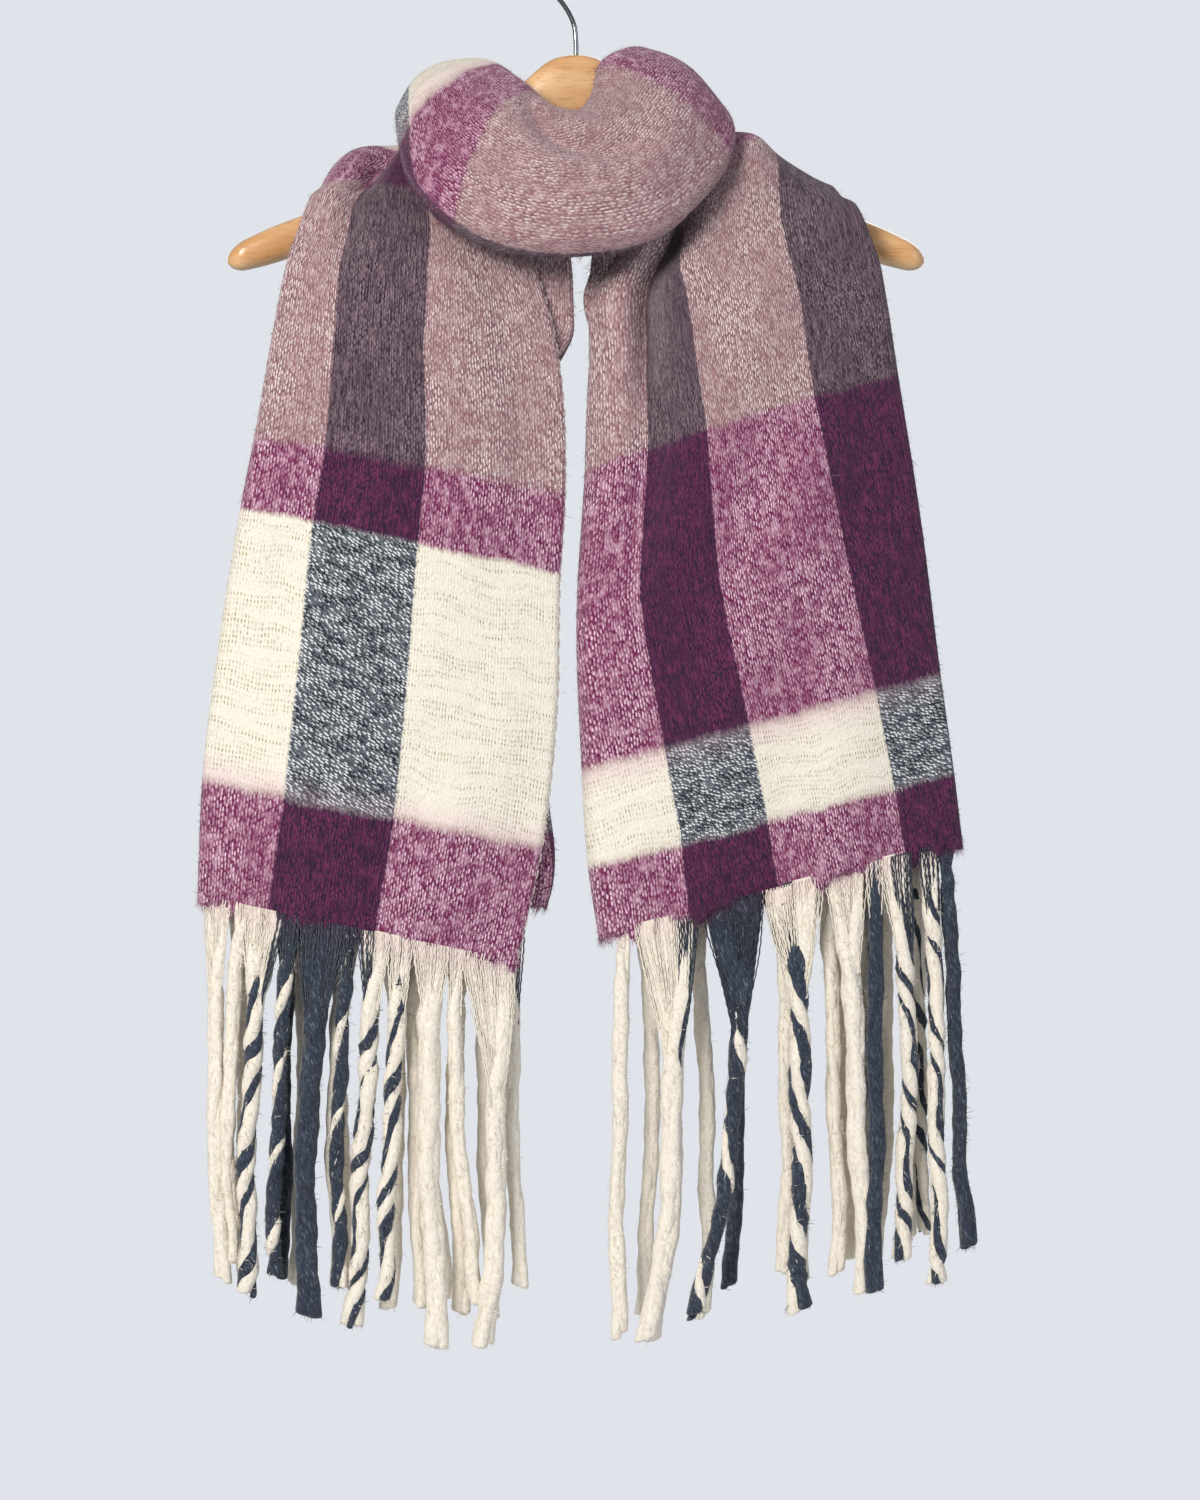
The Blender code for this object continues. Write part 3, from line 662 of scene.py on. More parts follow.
ROWS: tuple[Row, ...] = (
    Row(-37.5, -63, -645.6, -233.4, -56, -605.3, 9, 12),        # 0, the left hem
    Row(-20.8, -64, -568.7, -230.3, -57, -527.2, 12, 11),
    Row(-11.5, -65, -483.0, -219.5, -59, -442.0, 14, 10),
    Row(-9.6, -65, -401.3, -206.1, -60, -359.8, 15, 10),
    Row(-6.5, -64, -352.3, -197.5, -60, -315.8, 15, 9),
    Row(-9.6, -61, -274.8, -186.3, -56, -248.8, 15, 8),
    Row(-18.9, -56, -230.2, -177.6, -48, -202.3, 13, 7),
    Row(-32.0, -48, -192.0, -170.5, -40, -181.0, 8, 6, 2, -6),
    Row(-47.0, -34, -151.0, -164.0, -30, -164.0, 5, 5.5, 8, -26),
    Row(-62.0, -17.8, -107.5, -156.0, -22.1, -157.5, -1, 5, 4, -28),
    Row(-65.0, -0.9, -102.2, -149.0, -4.6, -146.9, -2, 5, 2, -14),  # 10, on the left arm
    Row(-63.0, 12.2, -104.7, -138.0, 9.0, -146.5, -1, 5),
    Row(-58.0, 27, -125.0, -121.0, 31, -160.0, 2, 5),
    Row(-46.0, 44, -110.0, -96.0, 52, -168.0, 4, 5),            # 13, the left of the nape
    Row(-20.0, 58, -96.0, -40.0, 72, -160.0, 5, 5),
    Row(16.0, 58, -86.0, 26.0, 70, -140.0, 5, 5),
    Row(42.0, 36, -73.0, 70.0, 39, -106.0, 5, 5),               # 16, the right of the nape
    Row(41.0, 12, -66.0, 86.0, 12, -100.0, 6, 5),
    Row(35.0, -8, -66.0, 95.5, -13, -108.5, 9, 5.5),
    Row(20.0, -30, -74.0, 99.0, -41, -132.0, 15, 8, -4, 0),
    Row(11.0, -48, -99.0, 73.0, -76, -173.0, 18, 11, -3, 0),
    Row(4.0, -58, -110.0, 49.0, -88, -194.0, 19, 12),
    Row(-4.0, -62, -113.0, 2.0, -94, -204.5, 20, 12),           # 22, the middle of the loop
    Row(-13.0, -60, -110.0, -44.0, -92, -201.0, 19, 12),
    Row(-24.0, -50, -99.0, -79.0, -80, -184.0, 18, 11, -10, 4),
    Row(-35.0, -34, -88.5, -103.0, -58, -157.0, 15, 9, -8, 2),
    Row(-48.0, -12, -77.0, -111.5, -31, -122.0, 14, 6.5, -6, 0),
    Row(-57.0, 12, -72.0, -112.0, 6, -104.5, 12, 5.5, -4, 0),
    Row(-55.0, 42, -77.0, -95.0, 46, -115.0, 8, 5),             # 28, the left of the nape again
    Row(-44.0, 80, -83.0, -76.0, 96, -138.0, 6, 5),
    Row(-12.0, 98, -88.0, -24.0, 117, -156.0, 7, 5.5),
    Row(22.0, 97, -96.0, 34.0, 117, -167.0, 7, 5.5),
    Row(50.0, 80, -106.0, 84.0, 100, -175.0, 6, 5),
    Row(64.0, 54, -116.0, 114.0, 68, -174.0, 4, 5),             # 33, the right of the nape again
    Row(66.0, 30, -129.0, 140.0, 36, -168.0, 2, 5),
    Row(65.0, 12.1, -107.5, 154.0, 8.1, -154.2, -1, 5, -30, 34),
    Row(65.0, -0.9, -103.3, 162.0, -5.5, -153.2, -2, 5, -56, 68),  # 36, on the right arm
    Row(62.0, -17.8, -108.6, 167.0, -22.8, -163.1, -1, 5, -60, 72),
    Row(49.0, -33, -150.0, 174.0, -30, -168.0, 5, 5.5, -40, 48),
    Row(34.0, -46, -190.0, 181.0, -41, -184.0, 8, 6, -14, 18),
    Row(13.3, -53, -222.0, 186.9, -48, -202.0, 12, 7),
    Row(9.0, -58, -270.5, 191.3, -55, -228.0, 14, 8),
    Row(6.5, -61, -335.6, 198.7, -60, -277.3, 15, 9),
    Row(1.6, -62, -428.6, 213.0, -61, -370.0, 15, 10),
    Row(4.7, -61, -519.1, 224.8, -60, -460.8, 13, 11),
    Row(8.4, -60, -578.6, 232.8, -59, -519.1, 12, 11),
    Row(15.8, -58, -628.9, 239.0, -58, -570.0, 9, 12),          # 46, the right hem
)
BEND_WEIGHT = 45.0               # one radian of bend earns as many stations as this many millimetres
FINE_STATIONS = 600              # places at which a stretch's bend is measured


class Frames(NamedTuple):
    """What the path gives at each of its stations."""

    neck: Array
    outer: Array
    bow: Array
    pitch: Array
    lean: Array
    outward: Array


class ScarfPath:
    """The scarf's rows as smooth curves."""

    def __init__(self, rows: tuple[Row, ...]) -> None:
        """Args:
            rows: The sections in order along the scarf.
        """
        self.table = np.array(rows, float)
        self.middles = (self.table[:, 0:3] + self.table[:, 3:6]) / 2
        self.knots = run_length(self.middles)

    def direction(self, places: Array) -> Array:
        """Unit direction of the middle line."""
        ahead = smooth_curve(self.knots, self.middles, np.minimum(places + 1, self.knots[-1]))
        behind = smooth_curve(self.knots, self.middles, np.maximum(places - 1, 0))
        return unit(ahead - behind)

    def stations(self, first: int, last: int, count: int) -> Array:
        """Places from one row to another, closer together where the path bends."""
        fine = np.linspace(self.knots[first] + HALF_GAP, self.knots[last] - HALF_GAP, FINE_STATIONS)
        turns = np.linalg.norm(np.diff(self.direction(fine), axis=0), axis=1)
        effort = np.concatenate([[0], np.cumsum(np.diff(fine) + BEND_WEIGHT * turns)])
        return np.interp(np.linspace(0, effort[-1], count), effort, fine)

    def frames(self, places: Array) -> Frames:
        """Edges, bow, pitch, lean and outward direction at places along the scarf."""
        made = smooth_curve(self.knots, self.table, places)
        neck, outer = made[:, 0:3], made[:, 3:6]
        outward = unit(np.cross(self.direction(places), outer - neck))
        return Frames(neck, outer, made[:, 6], made[:, 7], made[:, 8:10], outward)


# ---------------------------------------------------------------------------------------------- the folds

class Layer(NamedTuple):
    """One of the three layers across the folded scarf, between two fractions of its width.

    level counts behind the face, steps is its number of columns, cloth the measure at its end for the fringe.
    """

    start: float
    end: float
    level: int
    steps: int
    cloth: float


TURN_STEPS = 9                   # columns round a fold


class Fold:
    """How the scarf is folded across: its columns as shares of the width and of the layers' pitch."""

    def __init__(self, layers: tuple[Layer, ...]) -> None:
        """Args:
            layers: The layers in order across the cloth.
        """
        by_width, by_pitch, depth, number, cloth = [], [], [], [], []
        measure = 0.0
        for k, layer in enumerate(layers):
            toward = 1 if layer.end > layer.start else -1
            start = toward * abs(layer.level - layers[k - 1].level) / 2 if k else 0.0
            after = layers[k + 1].level if k + 1 < len(layers) else layer.level
            turn = abs(after - layer.level) / 2
            count = layer.steps + 1
            by_width.append(np.linspace(layer.start, layer.end, count))
            by_pitch.append(np.linspace(start, -toward * turn, count))
            depth.append(np.full(count, float(layer.level)))
            number.append(np.full(count, float(k)))
            cloth.append(np.linspace(measure, layer.cloth, count))
            measure = layer.cloth
            if turn:
                angles = np.linspace(0, math.pi, TURN_STEPS + 1)[1:-1]
                by_width.append(np.full(len(angles), layer.end))
                by_pitch.append(-toward * turn + toward * turn * np.sin(angles))
                depth.append(layer.level + (after - layer.level) * (1 - np.cos(angles)) / 2)
                number.append(np.full(len(angles), k + 0.5))
                cloth.append(np.full(len(angles), measure))
        self.by_width = np.concatenate(by_width)
        self.by_pitch = np.concatenate(by_pitch)
        self.depth = np.concatenate(depth)
        self.number = np.concatenate(number)
        self.cloth = np.concatenate(cloth)
        self.face = [k for k, layer in enumerate(layers) if layer.level == 0][0]
        self.layers = layers

    def section(self, width: Array, pitch: Array, bow: Array) -> tuple[Array, Array]:
        """Place across and lift of every column at every station. The face bows like half a sine wave."""
        across = self.by_width * width[:, None] + self.by_pitch * pitch[:, None]
        share = np.clip(across / width[:, None], 0, 1)
        return across, bow[:, None] * np.sin(math.pi * share) - self.depth * pitch[:, None]


LEFT_FOLD = Fold((Layer(0.0, 1.0, 0, 58, 216), Layer(1.0, -0.03, 1, 34, 438), Layer(-0.03, 0.75, 2, 26, 602)))
RIGHT_FOLD = Fold((Layer(0.95, 0.0, 2, 30, 224), Layer(0.0, 1.0, 0, 84, 483), Layer(1.0, 0.45, 1, 18, 602)))
LOOP_FOLD = Fold((Layer(0.72, 0.0, 2, 18, 322), Layer(0.0, 1.0, 0, 50, 446), Layer(1.0, 0.28, 1, 18, 602)))
BACK_FOLD = Fold((Layer(0.9, 0.0, 2, 14, 280), Layer(0.0, 1.0, 0, 24, 460), Layer(1.0, 0.35, 1, 12, 602)))


class Spread(NamedTuple):
    """Which measure of the cut lies where across the face, at one place along the path."""

    place: float
    shares: tuple[float, ...]
    marks: tuple[float, ...]


class Crease(NamedTuple):
    """A soft ridge, or a trough where depth is negative, along a line on the folded scarf."""

    place0: float
    place1: float
    share0: float
    share1: float
    depth: float
    half_width: float


LEFT_SPREAD = (
    Spread(0, (0, 0.440, 0.785, 1), (0, 98, 168, 214)),
    Spread(78, (0, 0.432, 0.757, 1), (0, 98, 168, 216)),
    Spread(164, (0, 0.438, 0.760, 1), (0, 98, 168, 216)),
    Spread(246, (0, 0.440, 0.775, 1), (0, 98, 168, 214)),
    Spread(293, (0, 0.445, 0.775, 1), (0, 98, 168, 214)),
    Spread(366, (0, 0.472, 0.788, 1), (0, 98, 168, 214)),
    Spread(412, (0, 0.455, 0.800, 1), (0, 98, 168, 214)),
    Spread(443, (0, 0.414, 0.790, 1), (0, 98, 168, 216)),
    Spread(460, (0, 0.405, 0.785, 1), (0, 98, 168, 222)),
    Spread(474, (0, 0.395, 0.760, 1), (0, 98, 168, 224)),
    Spread(492, (0, 0.375, 0.645, 1), (0, 98, 168, 236)),
    Spread(512, (0, 0.340, 0.540, 1), (0, 98, 168, 246)),
    Spread(590, (0, 0.400, 0.640, 1), (0, 90, 160, 226)),
)
NECK_SPREAD = (
    Spread(590, (0, 0.400, 0.640, 1), (0, 90, 160, 226)),
    Spread(740, (0, 0.300, 0.850, 1), (2, 30, 78, 86)),
    Spread(866, (0, 0.300, 0.900, 1), (2, 30, 78, 84)),
    Spread(920, (0, 0.300, 0.965, 1), (2, 31, 87, 88)),
    Spread(965, (0, 0.300, 0.965, 1), (2, 32, 94, 96)),
    Spread(1000, (0, 0.300, 0.960, 1), (2, 32, 98, 101)),
    Spread(1050, (0, 0.300, 0.790, 1), (2, 32, 98, 124)),
    Spread(1110, (0, 0.250, 0.620, 1), (0, 26, 98, 142)),
    Spread(1332, (0, 0.120, 0.620, 1), (-16, 0, 98, 159)),
)
RIGHT_SPREAD = (
    Spread(1332, (0, 0.030, 0.120, 0.620, 1), (320, 325, 336, 434, 495)),
    Spread(1426, (0, 0.040, 0.100, 0.600, 1), (322, 326, 336, 434, 495)),
    Spread(1452, (0, 0.050, 0.120, 0.614, 1), (290, 300, 336, 434, 495)),
    Spread(1483, (0, 0.160, 0.220, 0.632, 1), (240, 266, 336, 434, 495)),
    Spread(1503, (0, 0.185, 0.270, 0.668, 1), (234, 266, 336, 434, 498)),
    Spread(1525, (0, 0.190, 0.329, 0.700, 1), (230, 266, 336, 434, 498)),
    Spread(1547, (0, 0.192, 0.348, 0.714, 1), (226, 266, 336, 434, 497)),
    Spread(1605, (0, 0.200, 0.388, 0.729, 1), (222, 266, 336, 434, 498)),
    Spread(1698, (0, 0.182, 0.413, 0.771, 1), (226, 266, 336, 434, 496)),
    Spread(1789, (0, 0.225, 0.463, 0.814, 1), (215, 266, 336, 434, 487)),
    Spread(1848, (0, 0.253, 0.489, 0.833, 1), (207, 266, 336, 434, 479)),
    Spread(1899, (0, 0.247, 0.497, 0.844, 1), (209, 266, 336, 434, 479)),
)


class Flare(NamedTuple):
    """How far the hidden layers stand out past the neck-side edge at one place along the path."""

    place: float
    reach: float


LEFT_FLARES = (
    Flare(0, 7), Flare(28, 6), Flare(61, 1), Flare(79, -3), Flare(104, -8), Flare(130, -11), Flare(365, -11),
    Flare(384, 1), Flare(393, 6), Flare(412, 12), Flare(440, 22), Flare(470, 26), Flare(505, 12),
    Flare(540, 0),
)
RIGHT_FLARES = (
    Flare(1400, 0), Flare(1440, 10), Flare(1470, 22), Flare(1493, 21), Flare(1502, 15), Flare(1514, 10),
    Flare(1527, 3), Flare(1540, -4), Flare(1580, -6), Flare(1700, 0),
)


FLARE_WIDTH = 0.45               # share of the width over which a flare fades out
RAGGED_REACH = 26.0              # how far up from the hem its raggedness fades out
TUCK_REACH = 110.0               # and its tuck
RIPPLES = 7                      # waves of small unevenness
NAP_BETWEEN = 0.25               # weights of the nap against the face's: on the layer between the others
NAP_BEHIND = 0.4                 # on the hindmost layer
NAP_ROUND_FACE = 2.2             # round the folds beside the face
NAP_ROUND_BACK = 1.6             # round the other fold


class ClothGrid(NamedTuple):
    """A stretch's closed wall as rings of points: out along one side across the cloth, back on the other."""

    points: Array                    # station, column of the ring, xyz, millimetres
    places: Array                    # station, column of the ring, measures across and along, millimetres
    outside: Array                   # how much of the nap shows on each column of the ring


@dataclass
class Stretch:
    """One stretch of the wound scarf.

    Attributes:
        name: Its solid's name.
        first: Its first row.
        last: Its last row.
        stations: Number of sections along it.
        fold: How it is folded across.
        spread: Where the cut's measures lie on its face.
        far: Measures at the hidden ends of the cut, before and after the face.
        creases: Its creases.
        flares: Its flares.
        flare_depth: Levels behind the face between which a layer begins to follow a flare.
        ripple: Height of its small unevenness.
        fibres: Number of loose fibres of its nap.
        toward_hem: 1 where the nap is brushed along the path, -1 against it.
        seed: Seed of its unevenness and nap.
        strands: The fringe's strands at its hem, if it has one.
        tuck: How much higher than the face the hem of a flared layer lies.
    """

    name: str
    first: int
    last: int
    stations: int
    fold: Fold
    spread: tuple[Spread, ...]
    far: tuple[float, float]
    creases: tuple[Crease, ...]
    ripple: float
    fibres: int
    toward_hem: int
    seed: int
    flares: tuple[Flare, ...] = ()
    flare_depth: tuple[float, float] = (0.5, 0.95)
    strands: tuple["Strand", ...] = ()
    tuck: float = 0.0

    def grid(self, path: ScarfPath) -> ClothGrid:
        """Both sides of the wall.

        Each section's columns are lifted by the bow, the creases and the ripples alike on all three layers,
        so that the layers keep their distance. Half the wall's thickness is laid off to both sides, square
        to the section and in its own plane.

        Args:
            path: The scarf's path.

        Returns:
            The rings of points with their measures on the flat cloth.
        """
        places = path.stations(self.first, self.last, self.stations)
        neck, outer, bow, pitch, lean, outward = path.frames(places)
        width = np.linalg.norm(outer - neck, axis=1)
        toward_outer = (outer - neck) / width[:, None]
        across, lift = self.fold.section(width, pitch, bow)
        share = np.clip(across / width[:, None], 0, 1)
        lift = lift + self.relief(places, across, share, width)
        across = across - self.flaring(places)
        run = unit(np.stack([np.gradient(across, axis=1), np.gradient(lift, axis=1)], axis=-1))
        square = np.stack([-run[..., 1], run[..., 0]], axis=-1) * WALL / 2
        fall = self.hem_fall(path, places)
        sides = []
        for side in (1, -1):
            x = (across + side * square[..., 0])[..., None]
            y = (lift + side * square[..., 1])[..., None]
            sides.append(neck[:, None] + x * toward_outer[:, None] + y * outward[:, None] + fall)
        steps = np.linalg.norm(np.diff(np.stack([across, lift], -1), axis=1), axis=-1)
        arc = np.concatenate([np.zeros((len(places), 1)), np.cumsum(steps, axis=1)], axis=1)
        measure = self.measures(places, share, arc)
        along = places[:, None] + lean[:, :1] * (1 - share) + lean[:, 1:] * share
        flat = np.stack([measure, along], axis=-1)
        points = np.concatenate([sides[0], sides[1][:, ::-1]], axis=1)
        return ClothGrid(points, np.concatenate([flat, flat[:, ::-1]], axis=1), self.outside_columns())

    def flare_weight(self) -> Array:
        """How far each column follows a flare: hidden layers only, and less the further from the edge."""
        low, high = self.flare_depth
        deep = np.clip((self.fold.depth - low) / (high - low), 0, 1)
        return deep * deep * (3 - 2 * deep) * np.clip(1 - self.fold.by_width / FLARE_WIDTH, 0, 1) ** 1.5

    def flaring(self, places: Array) -> Array:
        """How far every column is moved past the neck-side edge."""
        if not self.flares:
            return np.zeros((len(places), len(self.fold.depth)))
        at, reach = np.array(self.flares).T
        return smooth_curve(at, reach, np.clip(places, at[0], at[-1]))[:, None] * self.flare_weight()

    def hem_fall(self, path: ScarfPath, places: Array) -> Array:
        """Ragged drop of the hem: its weft hangs lower between the roots of the strands than at them."""
        made = np.zeros((len(places), len(self.fold.depth), 3))
        if not self.strands:
            return made
        hem = 0.0 if self.first == 0 else path.knots[-1]
        downward = path.direction(np.array([hem]))[0] * (-1 if self.first == 0 else 1)
        away = np.abs(places - hem)
        cloth = self.fold.cloth
        gap = np.min([np.abs(cloth - strand.cloth) - strand.root / 2 for strand in self.strands], axis=0)
        rng = np.random.default_rng(self.seed + 7)
        drop = np.clip(gap, -3, 3) * 1.1 + rng.uniform(-1.6, 1.6, len(cloth))
        tucked = self.tuck * self.flare_weight()
        ragged, lifted = (1 - np.clip(away / reach, 0, 1)[:, None] for reach in (RAGGED_REACH, TUCK_REACH))
        return (ragged * drop - lifted * tucked)[..., None] * downward

    def relief(self, places: Array, across: Array, share: Array, width: Array) -> Array:
        """Lift of the ripples and the creases, which are bells across their lines."""
        lift = np.zeros_like(across)
        for crease in self.creases:
            t = np.clip((places - crease.place0) / (crease.place1 - crease.place0), 0, 1)
            line = crease.share0 + t * (crease.share1 - crease.share0)
            away = (share - line[:, None]) * width[:, None] / crease.half_width
            lift += crease.depth * (np.sin(math.pi * t) ** 0.8)[:, None] * np.exp(-away**2)
        rng = np.random.default_rng(self.seed)
        for _ in range(RIPPLES):
            wave_across, wave_along = rng.uniform(45, 120), rng.uniform(90, 260)
            phase, size = rng.uniform(0, 2 * math.pi), rng.uniform(0.4, 1.0)
            angle = 2 * math.pi * (across / wave_across + places[:, None] / wave_along) + phase
            lift += self.ripple * size / 3 * np.sin(angle)
        return lift

    def measures(self, places: Array, share: Array, arc: Array) -> Array:
        """Measure across the cut of every column: from the spread on the face, in proportion behind it."""
        at, rows_of_shares, rows_of_marks = (np.array(column, float) for column in zip(*self.spread))
        shares, marks = between(places, at, rows_of_shares), between(places, at, rows_of_marks)
        made = np.array([np.interp(s, a, m) for s, a, m in zip(share, shares, marks)])
        face = np.flatnonzero(self.fold.number == self.fold.face)
        start, end = face[0], face[-1]
        for edge, hidden, side in ((start, slice(None, start), 0), (end, slice(end + 1, None), -1)):
            if made[:, hidden].size:
                far = self.far[side] + marks[:, [side]] - marks[0, side]
                t = (arc[:, hidden] - arc[:, [edge]]) / (arc[:, [side]] - arc[:, [edge]])
                made[:, hidden] = made[:, [edge]] + t * (far - made[:, [edge]])
        return made

    def outside_columns(self) -> Array:
        """Weight of the nap on each column: most on the folds and the face, less behind, none inside."""
        number, layers = self.fold.number, self.fold.layers
        front = np.zeros(len(number))
        back = np.zeros(len(number))
        deepest = max(layer.level for layer in layers)
        for k, layer in enumerate(layers):
            if layer.level == 0:
                front[number == k] = 1.0
            else:
                shown = back if layer.end > layer.start else front
                shown[number == k] = NAP_BEHIND if layer.level == deepest else NAP_BETWEEN
        bends = number % 1 == 0.5
        first_bend = bends & (abs(number - self.fold.face) < 1)
        front[first_bend] = NAP_ROUND_FACE
        back[bends & ~first_bend] = NAP_ROUND_BACK
        return np.concatenate([front, back[::-1]])

    def build(self, grid: ClothGrid, cloth: bpy.types.Material,
              nap: bpy.types.Material) -> list[bpy.types.Object]:
        """Makes the wall and its nap.

        Args:
            grid: Both sides of the wall.
            cloth: The woven finish.
            nap: The finish of loose fibres.

        Returns:
            The wall's object and the nap's object.
        """
        rows, columns = grid.points.shape[:2]
        faces = ring_faces(rows, columns)
        half = columns // 2
        j = np.arange(half - 1)
        start = np.stack([j, columns - 1 - j, columns - 2 - j, j + 1], axis=1)
        end = np.stack([j, j + 1, columns - 2 - j, columns - 1 - j], axis=1) + (rows - 1) * columns
        faces += start.tolist() + end.tolist()
        wall = add_piece(f"cloth_{self.name}", grid.points.reshape(-1, 3), faces, [cloth])
        add_map(wall, CLOTH_MAP, grid.places.reshape(-1, 2) * MM)
        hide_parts(self.name)
        fibres = Nap(self.fibres, self.seed).on_cloth(grid, self.toward_hem, 2 if self.strands else 0)
        brushed = add_piece(f"nap_{self.name}", fibres.points, fibres.faces, [nap])
        add_map(brushed, NAP_MAP, (fibres.places * MM - NAP_MAP_LOW) / NAP_MAP_SIZE)
        LOG.info("%s: %d cloth faces, %d fibres", self.name, len(faces), self.fibres)
        return [wall, brushed]


@dataclass(frozen=True)
class Selvedge:
    """Beaded thread along the neck-side edge of a stretch, from its first station on."""

    reach: float                     # how far along the edge it shows
    radius: float = 0.9
    bead: float = 3.4                # length of one bead
    step: float = 0.8
    sides: int = 5

    def build(self, name: str, grid: ClothGrid, finish: bpy.types.Material) -> bpy.types.Object:
        """Makes the thread.

        Args:
            name: The stretch's name.
            grid: The stretch's wall.
            finish: The thread's yarn.

        Returns:
            Its object.
        """
        edge = (grid.points[:, 0] + grid.points[:, -1]) / 2
        within = (grid.points[:, 1] + grid.points[:, -2]) / 2
        measure = run_length(edge)
        places = np.arange(1.0, self.reach, self.step)
        line = between(places, measure, edge)
        aside = unit(between(places, measure, edge - within))
        deep = unit(np.cross(aside, np.gradient(line, axis=0)))
        turn = 2 * math.pi * places / self.bead
        line = line + (0.4 * np.sin(turn / 3))[:, None] * aside
        radius = self.radius * (0.8 + 0.3 * np.sin(turn))
        angles = ring_angles(self.sides)
        ring = np.cos(angles)[None, :, None] * aside[:, None] + np.sin(angles)[None, :, None] * deep[:, None]
        points = line[:, None] + ring * radius[:, None, None]
        faces = tube_faces(len(places), self.sides)
        return add_piece(f"selvedge_{name}", points.reshape(-1, 3), faces, [finish])


# -------------------------------------------------------------------------------------------- loose fibres

BLADE_STEPS = np.array([0.0, 0.5, 1.0])[:, None, None]   # root, middle and tip of a fibre
BLADE_MEASURE = 0.15             # half a fibre's width on the nap's map
HEM_FULLNESS = 5.0               # weight of the nap at a hem


class Fibres(NamedTuple):
    """Joined fibres: their corners, their faces and the cloth's measures at each corner."""

    points: Array
    faces: list
    places: Array


@dataclass(frozen=True)
class Nap:
    """Loose brushed fibres, each a thin blade of a quad and a triangle that bends over."""

    count: int
    seed: int
    length: tuple[float, float] = (4.0, 10.0)
    width: tuple[float, float] = (0.17, 0.34)

    def on_cloth(self, grid: ClothGrid, toward_hem: int, hem_rows: int) -> Fibres:
        """Scatters fibres over the outside of a wall, evenly by area times the column's weight.

        A blade starts on the surface, leaves it at a low angle, mostly the way the cloth was brushed, and
        bends over further on. Its sides lie in the surface, so that it is lit as the surface is.

        Args:
            grid: The wall.
            toward_hem: 1 where the nap is brushed along the path, -1 against it.
            hem_rows: Rows at the hem's end that carry a fuller edge, or 0.

        Returns:
            The joined fibres.
        """
        rng = np.random.default_rng(self.seed + 100)
        points = grid.points
        side = np.roll(points, -1, axis=1) - points
        forward = np.diff(points, axis=0)
        square = np.cross(side[:-1], forward)
        weight = np.linalg.norm(square, axis=-1) * grid.outside[None, :]
        if hem_rows:
            edge = slice(None, hem_rows) if toward_hem < 0 else slice(-hem_rows, None)
            weight[edge] *= HEM_FULLNESS
        weight = weight.ravel()
        chosen = rng.choice(len(weight), self.count, p=weight / weight.sum())
        i, j = np.divmod(chosen, points.shape[1])
        n = (j + 1) % points.shape[1]
        a, b = rng.random((2, self.count, 1))
        root, place = ((1 - a) * (1 - b) * value[i, j] + (1 - a) * b * value[i, n]
                       + a * (1 - b) * value[i + 1, j] + a * b * value[i + 1, n]
                       for value in (points, grid.places))
        normal = unit(square[i, j])
        run = unit(forward[i, j]) * toward_hem
        cross = np.cross(normal, run)
        swing = rng.normal(0, 0.75, (self.count, 1))
        flat = np.cos(swing) * run + np.sin(swing) * cross
        rise = rng.uniform(0.10, 0.75, (self.count, 1)) ** 1.3
        start = unit(flat + rise * normal)
        aside, lifted = rng.normal(0, 0.5, (self.count, 1)), rng.uniform(-0.25, 0.3, (self.count, 1))
        bent = unit(flat + aside * cross + lifted * normal)
        length = rng.uniform(*self.length, (self.count, 1))
        width = rng.uniform(*self.width, (self.count, 1))
        spine = blade_spine(root, start, bent, length, 0.7)
        corners = blade_corners(spine, unit(np.cross(start, normal)), width)
        heading = np.concatenate([np.sin(swing), np.cos(swing) * toward_hem], axis=1)
        along_blade = place + BLADE_STEPS * length * heading * 0.5
        sides = np.stack([along_blade - (BLADE_MEASURE, 0), along_blade + (BLADE_MEASURE, 0)], axis=1)
        flat_places = sides.transpose(2, 0, 1, 3).reshape(self.count, 6, 2)[:, :5].reshape(-1, 2)
        return Fibres(corners, blade_faces(self.count), flat_places)


def blade_spine(root: Array, start: Array, bent: Array, length: Array, bend: float) -> Array:
    """Root, middle and tip of every fibre.

    Args:
        root: Where it starts.
        start: Unit direction in which it leaves its root.
        bent: Unit direction into which it bends.
        length: Its length.
        bend: How much of the way it bends over.

    Returns:
        The three points of every fibre: point, fibre, xyz.
    """
    return root + length * (BLADE_STEPS * start + BLADE_STEPS**2 * bend * (bent - start))


def blade_corners(spine: Array, blade: Array, width: Array) -> Array:
    """Five corners of each fibre: two at its root, two halfway and its tip.

    Args:
        spine: Root, middle and tip of every fibre.
        blade: Sideways direction of every fibre.
        width: Width of every fibre at its root.

    Returns:
        The corners, fibre after fibre.
    """
    root, middle = width / 2 * blade, width * 0.4 * blade
    corners = [spine[0] - root, spine[0] + root, spine[1] - middle, spine[1] + middle, spine[2]]
    return np.stack(corners, axis=1).reshape(-1, 3)


def blade_faces(count: int) -> list:
    """A quad and a triangle for each fibre of five corners."""
    return [face for first in range(0, 5 * count, 5)
            for face in ((first, first + 1, first + 3, first + 2), (first + 2, first + 3, first + 4))]


# ---------------------------------------------------------------------------------------------- the fringe

class Ply(NamedTuple):
    """One ply of a strand: cream (0) or slate (1), with its radius and distance from the middle as shares."""

    yarn: int
    radius: float
    offset: float


